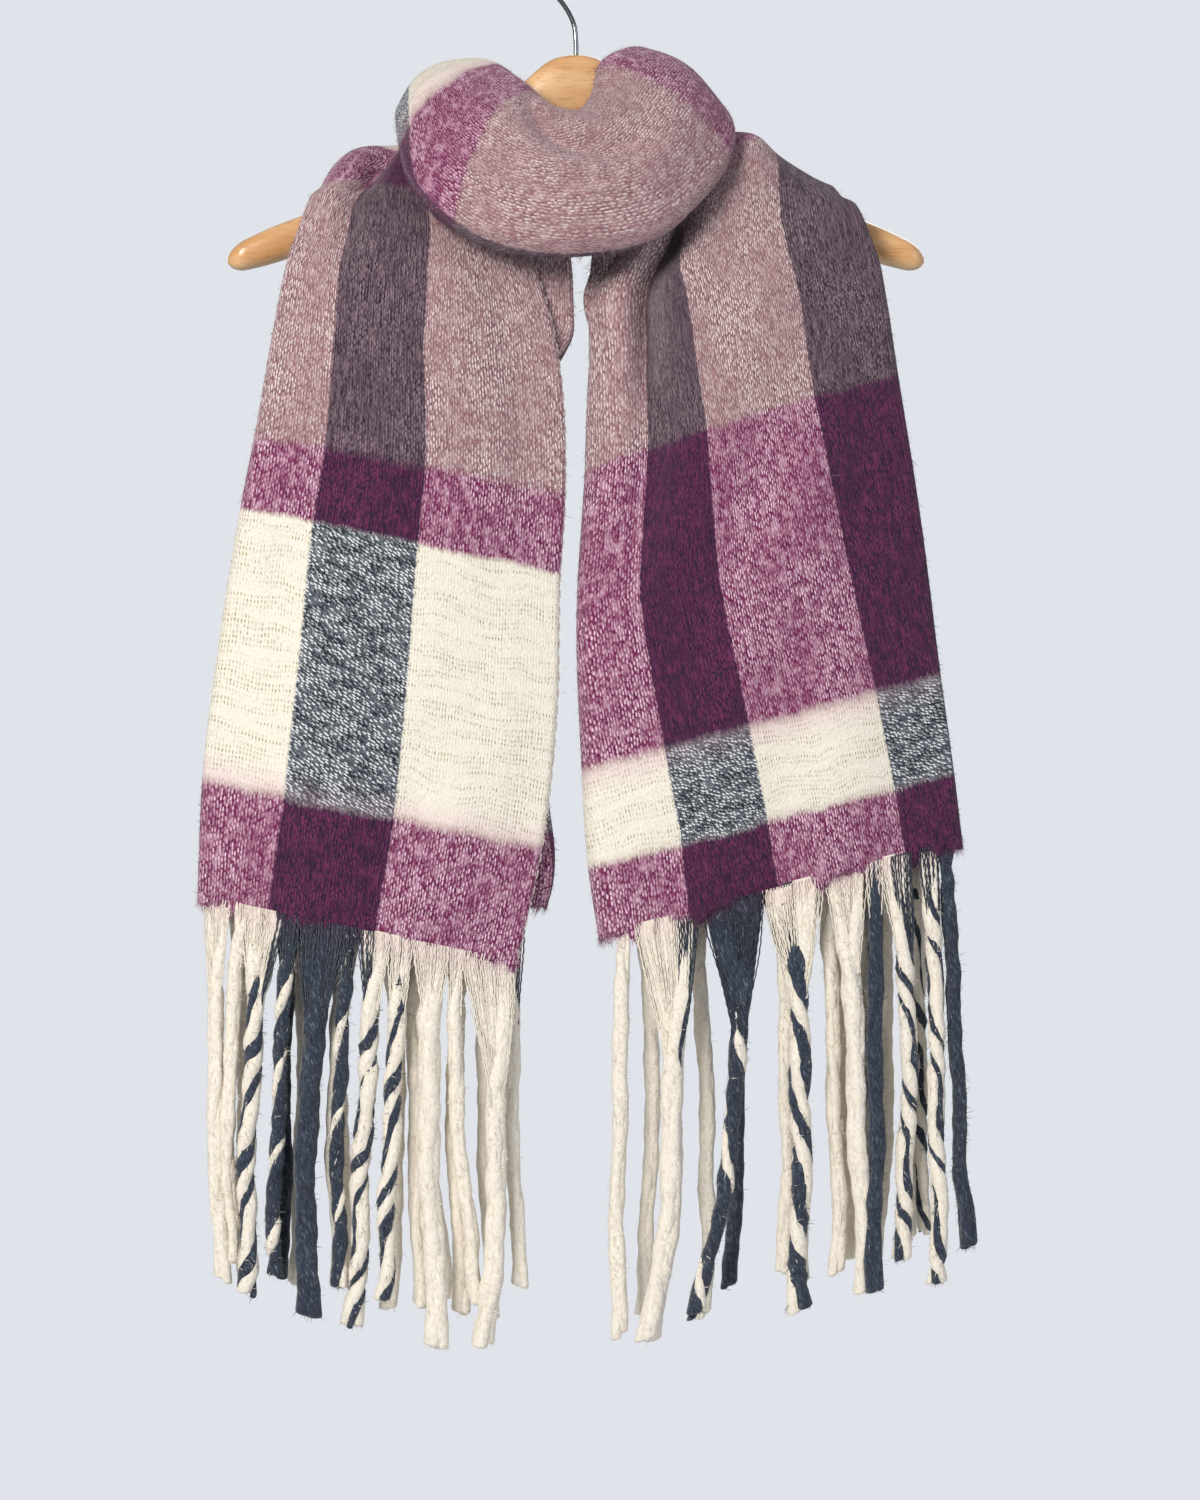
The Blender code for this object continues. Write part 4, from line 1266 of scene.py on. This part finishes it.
class Twist(Enum):
    """The plies of a strand."""

    CREAM = (Ply(0, 0.40, 0.10), Ply(0, 0.36, 0.15), Ply(0, 0.34, 0.16))
    SLATE = (Ply(1, 0.40, 0.10), Ply(1, 0.36, 0.14), Ply(1, 0.32, 0.18))
    CANDY = (Ply(1, 0.24, 0.21), Ply(0, 0.34, 0.16), Ply(1, 0.21, 0.22), Ply(0, 0.33, 0.16))
    STRIPED = (Ply(1, 0.28, 0.20), Ply(0, 0.32, 0.17), Ply(1, 0.25, 0.20), Ply(0, 0.31, 0.17))
    FLECKED = (Ply(1, 0.20, 0.25), Ply(0, 0.36, 0.14), Ply(1, 0.16, 0.25), Ply(0, 0.34, 0.15))
    DARK = (Ply(0, 0.21, 0.23), Ply(1, 0.40, 0.10), Ply(1, 0.31, 0.17))


MIXED = (Twist.CANDY, Twist.STRIPED, Twist.FLECKED, Twist.DARK)
# A ply's last three rings: how far they lie from its tip, and the share of its width that is left
BLUNT_END = ((2.2, 0.97), (0.7, 0.84), (0.0, 0.45))


class Strand(NamedTuple):
    """One strand of the fringe.

    cloth is its place on the cut, root the width it gathers, drift_mid and drift_tip its sideways way, drop
    its length, forward how far its tip lies towards the front, thick its thickness, pitch the length of one
    turn of its twist, gather how far down its root has drawn together, threads how many loose warp threads
    its root shows, rise how much higher than the face's hem it starts.
    """

    cloth: float
    root: float
    drift_mid: float
    drift_tip: float
    drop: float
    forward: float
    twist: Twist
    thick: float
    pitch: float
    gather: float
    threads: int = 0
    rise: float = 0.0


LEFT_STRANDS = (
    Strand(19, 33, 6, -2, 233, 4, Twist.CREAM, 13.5, 540, 78, 26),
    Strand(41, 9, 2, 15, 212, -2, Twist.CREAM, 10, 460, 30, 7),
    Strand(58, 22, -1, 5, 241, 3, Twist.CREAM, 14.5, 600, 34, 17),
    Strand(79, 14, -6, -10, 216, 5, Twist.CANDY, 12, 64, 40, 11),
    Strand(97, 20, -7, -13, 236, 0, Twist.FLECKED, 13, 76, 36, 15),
    Strand(115, 9, -7, -6, 214, 0, Twist.DARK, 10, 54, 24, 7),
    Strand(133, 31, -10, -10, 236, 3, Twist.SLATE, 14.5, 800, 56, 23),
    Strand(157, 10, -7, -10, 216, -1, Twist.DARK, 10.5, 50, 26, 8),
    Strand(176, 29, -8, -10, 230, 3, Twist.CANDY, 13, 66, 46, 22),
    Strand(192, 8, -7, -5, 216, -2, Twist.CREAM, 10, 450, 24),
    Strand(209, 17, -1, 3, 228, 0, Twist.CREAM, 11, 480, 50, 13),
    Strand(238, 16, 3, 3, 226, -1, Twist.CREAM, 12, 480, 36),
    Strand(274, 18, -3, -4, 220, -2, Twist.SLATE, 10.5, 430, 36),
    Strand(317, 18, -8, -4, 216, 0, Twist.CREAM, 10.5, 450, 36),
    Strand(362, 18, 4, 6, 222, -1, Twist.CREAM, 11, 460, 36),
    Strand(398, 18, -3, 2, 219, 1, Twist.CREAM, 11, 480, 36),
    Strand(437, 14, -1, 3, 230, 0, Twist.CREAM, 10, 450, 60, 7, 34),
    Strand(462, 18, 2, 6, 222, -4, Twist.CREAM, 10, 430, 36),
    Strand(492, 18, -5, 6, 214, -5, Twist.CREAM, 10, 440, 36),
    Strand(524, 18, 3, -3, 226, -4, Twist.CREAM, 11, 450, 36),
    Strand(556, 18, -4, 2, 218, -5, Twist.CREAM, 11, 470, 36),
    Strand(588, 18, 2, -4, 224, -4, Twist.CREAM, 11, 460, 36),
)
RIGHT_STRANDS = (
    Strand(590, 18, 3, 2, 232, 0, Twist.CREAM, 10.5, 460, 36),
    Strand(563, 16, 6, 8, 240, 0, Twist.CREAM, 10.5, 450, 36),
    Strand(536, 16, -3, 3, 236, 0, Twist.CREAM, 11, 470, 36),
    Strand(508, 18, 4, 8, 230, 0, Twist.FLECKED, 10.5, 82, 36),
    Strand(478, 10, 6, 12, 243, 0, Twist.SLATE, 10, 400, 20),
    Strand(464, 12, 5, 4, 262, 5, Twist.FLECKED, 12, 84, 30, 9),
    Strand(438, 20, 8, 2, 242, 2, Twist.FLECKED, 12, 76, 56, 15),
    Strand(421, 11, 1, 0, 258, 5, Twist.SLATE, 11, 430, 24, 8),
    Strand(399, 26, 7, 12, 252, -1, Twist.CREAM, 13.5, 520, 52, 20),
    Strand(358, 38, 5, 2, 256, 3, Twist.STRIPED, 14, 94, 58, 28),
    Strand(312, 38, 0, -24, 250, 3, Twist.DARK, 12, 78, 70, 28),
    Strand(260, 40, 4, -10, 254, 3, Twist.CREAM, 15, 520, 78, 30),
    Strand(227, 8, -3, -4, 245, 2, Twist.CREAM, 10.5, 450, 30),
    Strand(205, 16, 3, -3, 240, -2, Twist.CREAM, 10.5, 460, 36),
    Strand(172, 18, 8, 6, 248, -3, Twist.CREAM, 10.5, 450, 36),
    Strand(138, 18, -3, -8, 238, -2, Twist.SLATE, 10, 430, 36),
    Strand(104, 18, 4, 4, 244, -3, Twist.CREAM, 10.5, 440, 36),
    Strand(72, 18, 3, 9, 236, -2, Twist.CREAM, 11, 460, 36),
    Strand(42, 18, 3, -3, 246, -3, Twist.CREAM, 11, 450, 36),
    Strand(14, 16, -2, -6, 238, -2, Twist.CREAM, 11, 450, 36),
)


@dataclass
class Fringe:
    """The twisted fringe under one hem.

    Attributes:
        name: Its solid's name.
        at_start: Whether it hangs from the first row of the path.
        fold: The fold of the hem.
        strands: Its strands.
        fibres: Number of loose fibres on them.
        seed: Seed of their lumps and fibres.
    """

    name: str
    at_start: bool
    fold: Fold
    strands: tuple[Strand, ...]
    fibres: int
    seed: int
    rings: int = 56
    sides: int = 8
    root_wall: float = 0.85
    hidden: float = 7.0              # how far each root reaches up into the hem
    thread_radius: float = 0.6
    thread_rings: int = 56
    thread_sides: int = 3
    fibre_length: tuple[float, float] = (2.5, 7.0)
    fibre_width: tuple[float, float] = (0.26, 0.50)
    front_share: float = 1.6         # fibres on a front ply, against the mean
    other_yarn: float = 0.12         # share of a mixed strand's fibres that are of the other yarn

    def hem(self, path: ScarfPath) -> tuple[Array, Array]:
        """Points across the hem and their measures for the fringe."""
        place = np.array([0.0 if self.at_start else path.knots[-1]])
        frame = path.frames(place)
        width = np.linalg.norm(frame.outer - frame.neck, axis=1)
        across, lift = self.fold.section(width, frame.pitch, frame.bow)
        toward_outer = (frame.outer - frame.neck) / width[:, None]
        points = frame.neck + across[0][:, None] * toward_outer + lift[0][:, None] * frame.outward
        return points, self.fold.cloth + np.linspace(0, 1e-3, len(self.fold.cloth))

    def centre(self, strand: Strand, root: Array, drop: Array, rng: np.random.Generator) -> Array:
        """Middle line of a strand: a parabola through its drifts, with two slow waves."""
        share = np.maximum(drop, 0) / strand.drop
        drift = 4 * share * (1 - share) * strand.drift_mid + share * (2 * share - 1) * strand.drift_tip
        x = drift + 1.6 * share * np.sin(drop / rng.uniform(13, 24) + rng.uniform(0, 6))
        y = -strand.forward * share + 1.2 * share * np.sin(drop / rng.uniform(16, 26) + rng.uniform(0, 6))
        return root + np.stack([x, y, strand.rise - drop], axis=1)

    @staticmethod
    def depth(tangent: Array) -> tuple[Array, float]:
        """Unit direction square to the hem, and 1 if it points to the front or -1."""
        deep = unit(np.cross(tangent, (0, 0, 1)))
        return deep, -1.0 if deep[1] > 0 else 1.0

    def drawing(self, strand: Strand, drop: Array) -> Array:
        """How far a root has drawn together at each drop, from 0 to 1."""
        share = np.clip(drop / strand.gather, 0, 1)
        return share**1.2 if strand.threads else 1 - (1 - share) ** 1.25

    def plies(self, strand: Strand, root: Array, tangent: Array, rng: np.random.Generator) -> list[Array]:
        """Rings of the plies of a strand.

        A ply starts inside the hem as its share of the root's flat band, draws together into a round yarn,
        and winds about the strand's middle line once every pitch. Its radius swells and thins. Plies of the
        other yarn than the second one start narrow behind the rest and swell at the front, so that they show
        as dashes. The plies part a little at the blunt end.

        Args:
            strand: The strand.
            root: The middle of its root.
            tangent: Unit direction of the hem at its root.
            rng: Source of its lumps.

        Returns:
            One array of rings for each ply: ring, side, xyz.
        """
        drop = -self.hidden + (strand.drop + self.hidden) * np.linspace(0, 1, self.rings) ** 1.05
        short, closing = np.array(BLUNT_END).T
        drop[-len(short):] = strand.drop - short
        middle = self.centre(strand, root, drop, rng)
        deep, front = self.depth(tangent)
        drawn = self.drawing(strand, drop)
        hand = 1 if self.at_start else -1
        uneven = 1.0 if strand.twist is Twist.FLECKED else 0.5
        turn = hand * 2 * math.pi * drop / strand.pitch + rng.uniform(0, 2 * math.pi)
        turn += uneven * np.sin(drop / 11 + rng.uniform(0, 6))
        parted = 0.8 if strand.twist is Twist.SLATE else 0.93
        parting = 1 + 0.8 * np.clip((drop / strand.drop - parted) / (1 - parted), 0, 1)
        plies = strand.twist.value
        band = strand.root * (0.9 if strand.threads else 1.0)
        angles = ring_angles(self.sides)
        made = []
        main = [k for k, ply in enumerate(plies) if ply.yarn == plies[1].yarn]
        for k, ply in enumerate(plies):
            phase = turn + 2 * math.pi * k / len(plies)
            radius = strand.thick * ply.radius * (
                1 + 0.10 * np.sin(drop / rng.uniform(5, 9) + rng.uniform(0, 6))
                + 0.07 * np.sin(drop / rng.uniform(2.4, 3.6) + rng.uniform(0, 6)))
            if k in main:
                flat, spread = ((main.index(k) + 0.5) / len(main) - 0.5) * band, band / len(main) * 0.52
                behind = 0.0
            else:
                radius *= 1 + 0.25 * np.sin(phase) * front + rng.normal(0, 0.12, self.rings)
                radius *= 1 + 0.22 * np.sin(drop / rng.uniform(8, 14) + rng.uniform(0, 6))
                flat, spread, behind = 0.0, band * 0.2, 1.5
            wind = strand.thick * ply.offset * parting
            sideways = flat * (1 - drawn) + wind * drawn * np.cos(phase)
            forwards = wind * drawn * np.sin(phase) - front * behind * (1 - drawn)
            offset = sideways[:, None] * tangent + forwards[:, None] * deep
            wide = spread * (1 - drawn) + radius * drawn
            thin = self.root_wall * (1 - drawn) + radius * drawn
            for size in (wide, thin):
                size[-len(closing):] *= closing
            ring = (np.cos(angles)[None, :, None] * wide[:, None, None] * tangent
                    + np.sin(angles)[None, :, None] * thin[:, None, None] * deep)
            made.append((middle + offset)[:, None] + ring - (0, 0, rng.uniform(-1.5, 2.5) * (k > 0)))
        return made

    def root_threads(self, strand: Strand, root: Array, tangent: Array, rng: np.random.Generator) -> Array:
        """Separate crimped warp threads that fan from the hem into the strand: thread, ring, side, xyz."""
        count = strand.threads
        drop = np.linspace(-self.hidden, strand.gather * 1.12, self.thread_rings)
        starts = np.linspace(-0.5, 0.5, count) * strand.root + rng.normal(0, 0.3, count)
        drawn = self.drawing(strand, drop)
        middle = self.centre(strand, np.zeros(3), np.maximum(drop, 0), np.random.default_rng(1))
        middle[:, 2] = strand.rise - drop
        phase = rng.uniform(0, 6, (count, 1))
        crimp = 0.28 * np.sin(drop[None, :] + phase) * (1 - 0.6 * drawn)
        wander = 0.7 * np.sin(drop[None, :] / 11 + phase * 2) * np.clip(drop / 12, 0, 1) * (1 - drawn)
        side = starts[:, None] * (1 - drawn * (1 - 0.7 * strand.thick / strand.root)) + crimp + wander
        deep, front = self.depth(tangent)
        depth = front * (strand.thick * 0.32 * drawn + self.root_wall * (1 - drawn))
        depth = depth + 0.3 * np.sin(drop[None, :] / 7 + phase) * (1 - drawn)
        line = root + middle + side[..., None] * tangent + depth[..., None] * deep
        angles = ring_angles(self.thread_sides)
        ring = (np.cos(angles)[:, None] * tangent + np.sin(angles)[:, None] * deep) * self.thread_radius
        return line[:, :, None] + ring

    def build(self, path: ScarfPath, yarns: list[bpy.types.Material]) -> list[bpy.types.Object]:
        """Makes the strands and their loose fibres.

        Args:
            path: The scarf's path.
            yarns: The cream and the slate yarn.

        Returns:
            The strands' object and the fibres' object.
        """
        hem, cloth = self.hem(path)
        points, faces, yarn_of_face, walls = [], [], [], []
        count = 0
        for k, strand in enumerate(self.strands):
            rng = np.random.default_rng(self.seed + k)
            behind, root, ahead = (between(strand.cloth + step, cloth, hem) for step in (-4, 0, 4))
            tangent = unit(max(ahead - root, root - behind, key=lambda way: abs(way[0])))
            for ply, (yarn, _, _) in zip(self.plies(strand, root, tangent, rng), strand.twist.value):
                made = tube_faces(self.rings, self.sides, count)
                faces += made
                yarn_of_face += [yarn] * len(made)
                points.append(ply.reshape(-1, 3))
                walls.append((ply, yarn, strand.twist in MIXED))
                count += self.rings * self.sides
            if not strand.threads:
                continue
            for j, thread in enumerate(self.root_threads(strand, root, tangent, rng)):
                made = ring_faces(self.thread_rings, self.thread_sides, count)
                place = strand.cloth + ((j + 0.5) / strand.threads - 0.5) * strand.root
                yarn = int(place % STRIPE_REPEAT > CREAM_STRIPE)
                faces += made
                yarn_of_face += [yarn] * len(made)
                points.append(thread.reshape(-1, 3))
                count += self.thread_rings * self.thread_sides
        ropes = add_piece(f"strands_{self.name}", np.concatenate(points), faces, yarns)
        ropes.data.polygons.foreach_set("material_index", yarn_of_face)
        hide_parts(self.name)
        fuzz = self.fuzz(walls, yarns)
        LOG.info("%s: %d strands, %d faces, %d fibres", self.name, len(self.strands), len(faces), self.fibres)
        return [ropes, fuzz]

    def fuzz(self, walls: list[tuple[Array, int, bool]], yarns: list[bpy.types.Material]) -> bpy.types.Object:
        """Loose fibres that stand off the strands and bend downwards, most of them on the front ones.

        In mixed strands some are of the other yarn.
        """
        rng = np.random.default_rng(self.seed + 500)
        depths = [wall[..., 1].mean() for wall, _, _ in walls]
        corners, yarn_of_face = [], []
        for depth, (wall, yarn, mixed) in zip(depths, walls):
            in_front = depth < np.median(depths)
            each = int(self.fibres / len(walls) * (self.front_share if in_front else 2 - self.front_share))
            i = rng.integers(2, wall.shape[0] - 1, each)
            j = rng.integers(0, wall.shape[1], each)
            slide = rng.random((each, 1))
            root = wall[i, j] * slide + wall[i - 1, j] * (1 - slide)
            outward = unit(root - wall[i].mean(axis=1))
            spin = rng.normal(0, 1, (each, 3))
            start = unit(outward * rng.uniform(0.2, 0.9, (each, 1)) + spin * 0.5 + (0, 0, -0.8))
            bent = unit(start * 0.4 + spin[:, ::-1] * 0.7 + (0, 0, -0.7))
            length = rng.uniform(*self.fibre_length, (each, 1))
            width = rng.uniform(*self.fibre_width, (each, 1))
            blade = unit(np.cross(start, outward + 1e-6))
            corners.append(blade_corners(blade_spine(root, start, bent, length, 0.6), blade, width))
            own = np.where(rng.random(each) < self.other_yarn * mixed, 1 - yarn, yarn)
            yarn_of_face += np.repeat(own, 2).tolist()
        points = np.concatenate(corners)
        piece = add_piece(f"fuzz_{self.name}", points, blade_faces(len(points) // 5), yarns)
        piece.data.polygons.foreach_set("material_index", yarn_of_face)
        return piece


# ---------------------------------------------------------------------------------------------- the hanger

class Wood(NamedTuple):
    """A section of the hanger's arm: distance from the middle, top edge, height and thickness."""

    out: float
    top: float
    height: float
    thick: float


@dataclass
class Hanger:
    """The contoured wooden body and its wire hook."""

    sections: tuple[Wood, ...] = (
        Wood(0, -70, 46, 20), Wood(16, -73.6, 45, 20), Wood(32, -86.5, 42, 19), Wood(50, -105, 37, 18),
        Wood(72, -124, 32, 17), Wood(100, -141, 28, 17), Wood(132, -156, 26, 18), Wood(166, -170, 24, 20),
        Wood(196, -182, 22, 22), Wood(208, -188, 19, 21), Wood(219, -192.5, 17, 20),
    )
    tip: float = 12.0                # length of the rounded end
    forward: float = 10.0            # how far in front of the middle the tips lie
    rounding: float = 0.8            # 1 is an ellipse, less is squarer
    wire: float = 1.6                # its radius
    eye: float = 21.6                # radius of the hook's middle line
    crest: float = -70.0             # height of the wood's top
    hole_depth: float = 18.0

    def body(self, finish: bpy.types.Material) -> bpy.types.Object:
        """The wood: rounded sections carried along a smooth line, drawn in at both tips."""
        table = np.array(self.sections, float)
        outs = np.concatenate([-table[:0:-1, 0], table[:, 0]])
        values = np.concatenate([table[:0:-1, 1:], table[:, 1:]])
        sides, reach = 44, self.sections[-1].out
        end = reach - self.tip * (1 - np.sin(np.linspace(0, math.pi / 2, 14)))
        straight = reach - self.tip - 3
        x = np.concatenate([-end[::-1], np.linspace(-straight, straight, 118), end])
        top, height, thick = smooth_curve(outs, values, x).T
        into = np.clip((abs(x) - (reach - self.tip)) / self.tip, 0, 0.97)
        middle = top - height / 2
        height, thick = height * np.sqrt(1 - into**2), thick * np.sqrt(1 - into**2)
        cos, sin = np.cos(ring_angles(sides)), np.sin(ring_angles(sides))
        y = -self.forward * (x / reach) ** 2
        ring = np.stack([
            np.repeat(x[:, None], sides, axis=1),
            y[:, None] + np.sign(cos) * abs(cos) ** self.rounding * thick[:, None] / 2,
            middle[:, None] + np.sign(sin) * abs(sin) ** self.rounding * height[:, None] / 2,
        ], axis=-1)
        faces = tube_faces(len(x), sides)
        made = add_piece("hanger_body", ring.reshape(-1, 3), faces, [finish])
        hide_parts("hanger_wood")
        return made

    def hook(self, finish: bpy.types.Material) -> bpy.types.Object:
        """The wire: a round section carried up its stem and round the eye, with a rounded end."""
        centre = -self.eye + self.wire
        stem = [(0, self.crest - self.hole_depth), (0, self.crest - 6), (0, self.crest + 8),
                (-1.2, self.crest + 19), (-6.5, self.crest + 30), (-14.0, self.crest + 39)]
        turned = np.radians(np.linspace(192, -38, 18))
        crown = [(self.eye * math.cos(t), centre + self.eye * math.sin(t)) for t in turned]
        knots_at = np.array(stem + crown)
        knots = run_length(knots_at)
        places = np.linspace(0, knots[-1], 170)
        line = smooth_curve(knots, knots_at, places)
        run = unit(np.gradient(line, axis=0))
        sides = 20
        around = ring_angles(sides)
        left = np.clip(knots[-1] - places, 0, self.wire)
        radius = np.sqrt(np.maximum(self.wire**2 - (self.wire - left) ** 2, 0.05))
        ring = np.stack([
            line[:, :1] - run[:, 1:] * np.cos(around) * radius[:, None],
            np.sin(around) * radius[:, None],
            line[:, 1:] + run[:, :1] * np.cos(around) * radius[:, None],
        ], axis=-1)
        faces = tube_faces(len(places), sides)
        made = add_piece("hook_wire", ring.reshape(-1, 3), faces, [finish])
        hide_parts("hook")
        return made


# ---------------------------------------------------------------------------------------------- the studio

class Lamp(NamedTuple):
    """A soft square light: its place in metres, watts, size and colour."""

    name: str
    place: tuple[float, float, float]
    power: float
    size: float
    colour: Colour


@dataclass
class Studio:
    """Pale floor, soft lights and the camera."""

    aim: tuple[float, float, float] = (0.0152, -0.05, -0.5092)
    distance: float = 2.6
    view_height: float = 0.930       # of the frame, at the aim
    sensor: float = 36.0
    backdrop: Colour = srgb(224, 228, 234)
    floor_level: float = -1.25
    floor_radius: float = 1.3
    ambient: float = 0.37            # strength of the backdrop's light, against 1 for how bright it looks
    lamps: tuple[Lamp, ...] = (
        Lamp("key", (-1.3, -2.35, 0.62), 74.0, 1.0, srgb(255, 250, 244)),
        Lamp("fill", (2.0, -1.6, 0.0), 15.0, 1.8, srgb(246, 249, 255)),
        Lamp("back", (0.6, 2.0, 0.8), 20.0, 1.6, srgb(250, 252, 255)),
    )

    def build(self) -> None:
        """Sets up camera, lights, floor and world."""
        data = bpy.data.cameras.new("camera")
        data.sensor_width = self.sensor
        data.lens = self.sensor * self.distance / self.view_height
        camera = bpy.data.objects.new("camera", data)
        camera.location = (self.aim[0], self.aim[1] - self.distance, self.aim[2])
        camera.rotation_euler = (math.pi / 2, 0, 0)
        bpy.context.scene.collection.objects.link(camera)
        bpy.context.scene.camera = camera
        for lamp in self.lamps:
            self.light(lamp)
        self.floor()
        world = bpy.data.worlds.new("studio")
        bpy.context.scene.world = world
        world.use_nodes = True
        tree = world.node_tree
        seen = tree.nodes.new("ShaderNodeLightPath").outputs["Is Camera Ray"]
        level = tree.nodes.new("ShaderNodeMapRange")
        level.inputs["To Min"].default_value = self.ambient
        shade = tree.nodes["Background"]
        shade.inputs["Color"].default_value = (*self.backdrop, 1.0)
        tree.links.new(seen, level.inputs["Value"])
        tree.links.new(level.outputs[0], shade.inputs["Strength"])
        bpy.context.scene.view_settings.view_transform = "Standard"

    def light(self, lamp: Lamp) -> None:
        """Sets one light up, turned to the middle of the scarf."""
        data = bpy.data.lights.new(lamp.name, "AREA")
        data.energy, data.size, data.color = lamp.power, lamp.size, lamp.colour
        made = bpy.data.objects.new(lamp.name, data)
        made.location = lamp.place
        back = np.array(lamp.place) - self.aim
        made.rotation_euler = (math.atan2(math.hypot(back[0], back[1]), back[2]), 0,
                               math.atan2(back[1], back[0]) + math.pi / 2)
        bpy.context.scene.collection.objects.link(made)

    def floor(self) -> None:
        """A round pale floor well under the fringe."""
        around = ring_angles(96)
        points = [(self.floor_radius * math.cos(t), self.floor_radius * math.sin(t), self.floor_level)
                  for t in around]
        mesh = bpy.data.meshes.new("floor")
        mesh.from_pydata(points, [], [list(range(len(points)))])
        bench = Bench("pale_floor")
        colour = bench.blend(bench.grain((3.0, 3.0, 0.0)), srgb(226, 229, 233), srgb(232, 234, 237))
        bench.fill(bench.shader, Base_Color=colour, Roughness=0.8)
        mesh.materials.append(bench.material)
        floor = bpy.data.objects.new("floor", mesh)
        bpy.context.scene.collection.objects.link(floor)


def scarf_stretches() -> tuple[Stretch, ...]:
    """The five stretches of the scarf with their folds and creases."""
    left = Stretch("left_end", 0, 13, 150, LEFT_FOLD, LEFT_SPREAD, (0, 602), (
        Crease(-60, 210, 0.42, 0.46, -4, 24),
        Crease(400, 485, 0.785, 0.775, -6, 8),
        Crease(455, 530, 0.80, 0.54, -12, 8),
        Crease(430, 640, 0.90, 0.74, 11, 20),
        Crease(250, 440, 0.10, 0.20, -4, 16),
        Crease(120, 430, 0.93, 0.93, 3, 16),
        Crease(330, 480, 0.30, 0.34, 3, 18),
        Crease(20, 300, 0.70, 0.76, 2.5, 22),
    ), 1.5, 36000, -1, 11, flares=LEFT_FLARES, strands=LEFT_STRANDS, tuck=38)
    inner = Stretch("neck_back_inner", 13, 16, 60, BACK_FOLD, NECK_SPREAD, (-170, 400), (), 0.5, 5000, 1, 12)
    loop = Stretch("neck_loop", 16, 28, 150, LOOP_FOLD, NECK_SPREAD, (-40, 210), (
        Crease(868, 990, 0.56, 0.02, -12, 10),
        Crease(862, 975, 0.24, 0.00, 5, 14),
        Crease(820, 930, 0.66, 0.74, 3, 18),
        Crease(930, 1040, 0.62, 0.50, -3, 16),
        Crease(990, 1080, 0.72, 0.70, 4, 18),
    ), 0.8, 26000, 1, 13)
    outer = Stretch("neck_back_outer", 28, 33, 80, BACK_FOLD, NECK_SPREAD, (-60, 220), (
        Crease(1140, 1320, 0.30, 0.42, -4, 14),
        Crease(1170, 1330, 0.72, 0.66, 3, 16),
    ), 0.7, 9000, 1, 14)
    right = Stretch("right_end", 33, 46, 150, RIGHT_FOLD, RIGHT_SPREAD, (150, 602), (
        Crease(1435, 1585, 0.178, 0.200, -18, 9),
        Crease(1450, 1680, 0.0, 0.0, -8, 14),
        Crease(1500, 1670, 0.190, 0.205, -4, 12),
        Crease(1450, 1660, 0.07, 0.11, 5, 14),
        Crease(1480, 1640, 0.32, 0.34, 3, 15),
        Crease(1700, 1980, 0.50, 0.49, -4, 24),
        Crease(1560, 1860, 0.66, 0.74, 3, 20),
        Crease(1380, 1460, 0.42, 0.50, 6, 14),
        Crease(1620, 1800, 0.14, 0.22, -3, 20),
    ), 1.5, 32000, 1, 15, flares=RIGHT_FLARES, flare_depth=(0.8, 1.7), strands=RIGHT_STRANDS)
    return left, inner, loop, outer, right


def main() -> None:
    """Builds the scarf, its fringes and its hanger, and sets the studio up."""
    logging.basicConfig(level=logging.INFO, format="%(name)s: %(message)s")
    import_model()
    path = ScarfPath(ROWS)
    cloth = CheckCloth("check_cloth").make()
    nap = CheckCloth("check_nap", nap=True, sheen=0.35).make()
    yarns = [
        Yarn("cream_yarn", srgb(240, 232, 218), srgb(250, 246, 237), srgb(218, 205, 183),
             srgb(226, 186, 198)).make(),
        Yarn("slate_yarn", srgb(52, 60, 74), srgb(104, 114, 127), srgb(24, 29, 39), srgb(84, 46, 78)).make(),
    ]
    made = {}
    for stretch in scarf_stretches():
        grid = stretch.grid(path)
        made[stretch.name] = stretch.build(grid, cloth, nap)
        if stretch.name == "left_end":
            made[stretch.name].append(Selvedge(470.0).build(stretch.name, grid, yarns[0]))
    fringes = {
        "left": Fringe("fringe_left", True, LEFT_FOLD, LEFT_STRANDS, 17000, 31).build(path, yarns),
        "right": Fringe("fringe_right", False, RIGHT_FOLD, RIGHT_STRANDS, 17000, 61).build(path, yarns),
    }
    hanger = Hanger()
    varnish = Varnish("honey_varnish", srgb(230, 186, 136), srgb(208, 156, 102), srgb(160, 108, 62))
    body = hanger.body(varnish.make())
    hanger.hook(Plating("bright_plating", srgb(128, 132, 138)).make())
    LOG.info("hanger: wood and hook")
    Studio().build()
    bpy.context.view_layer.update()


if __name__ == "__main__":
    main()
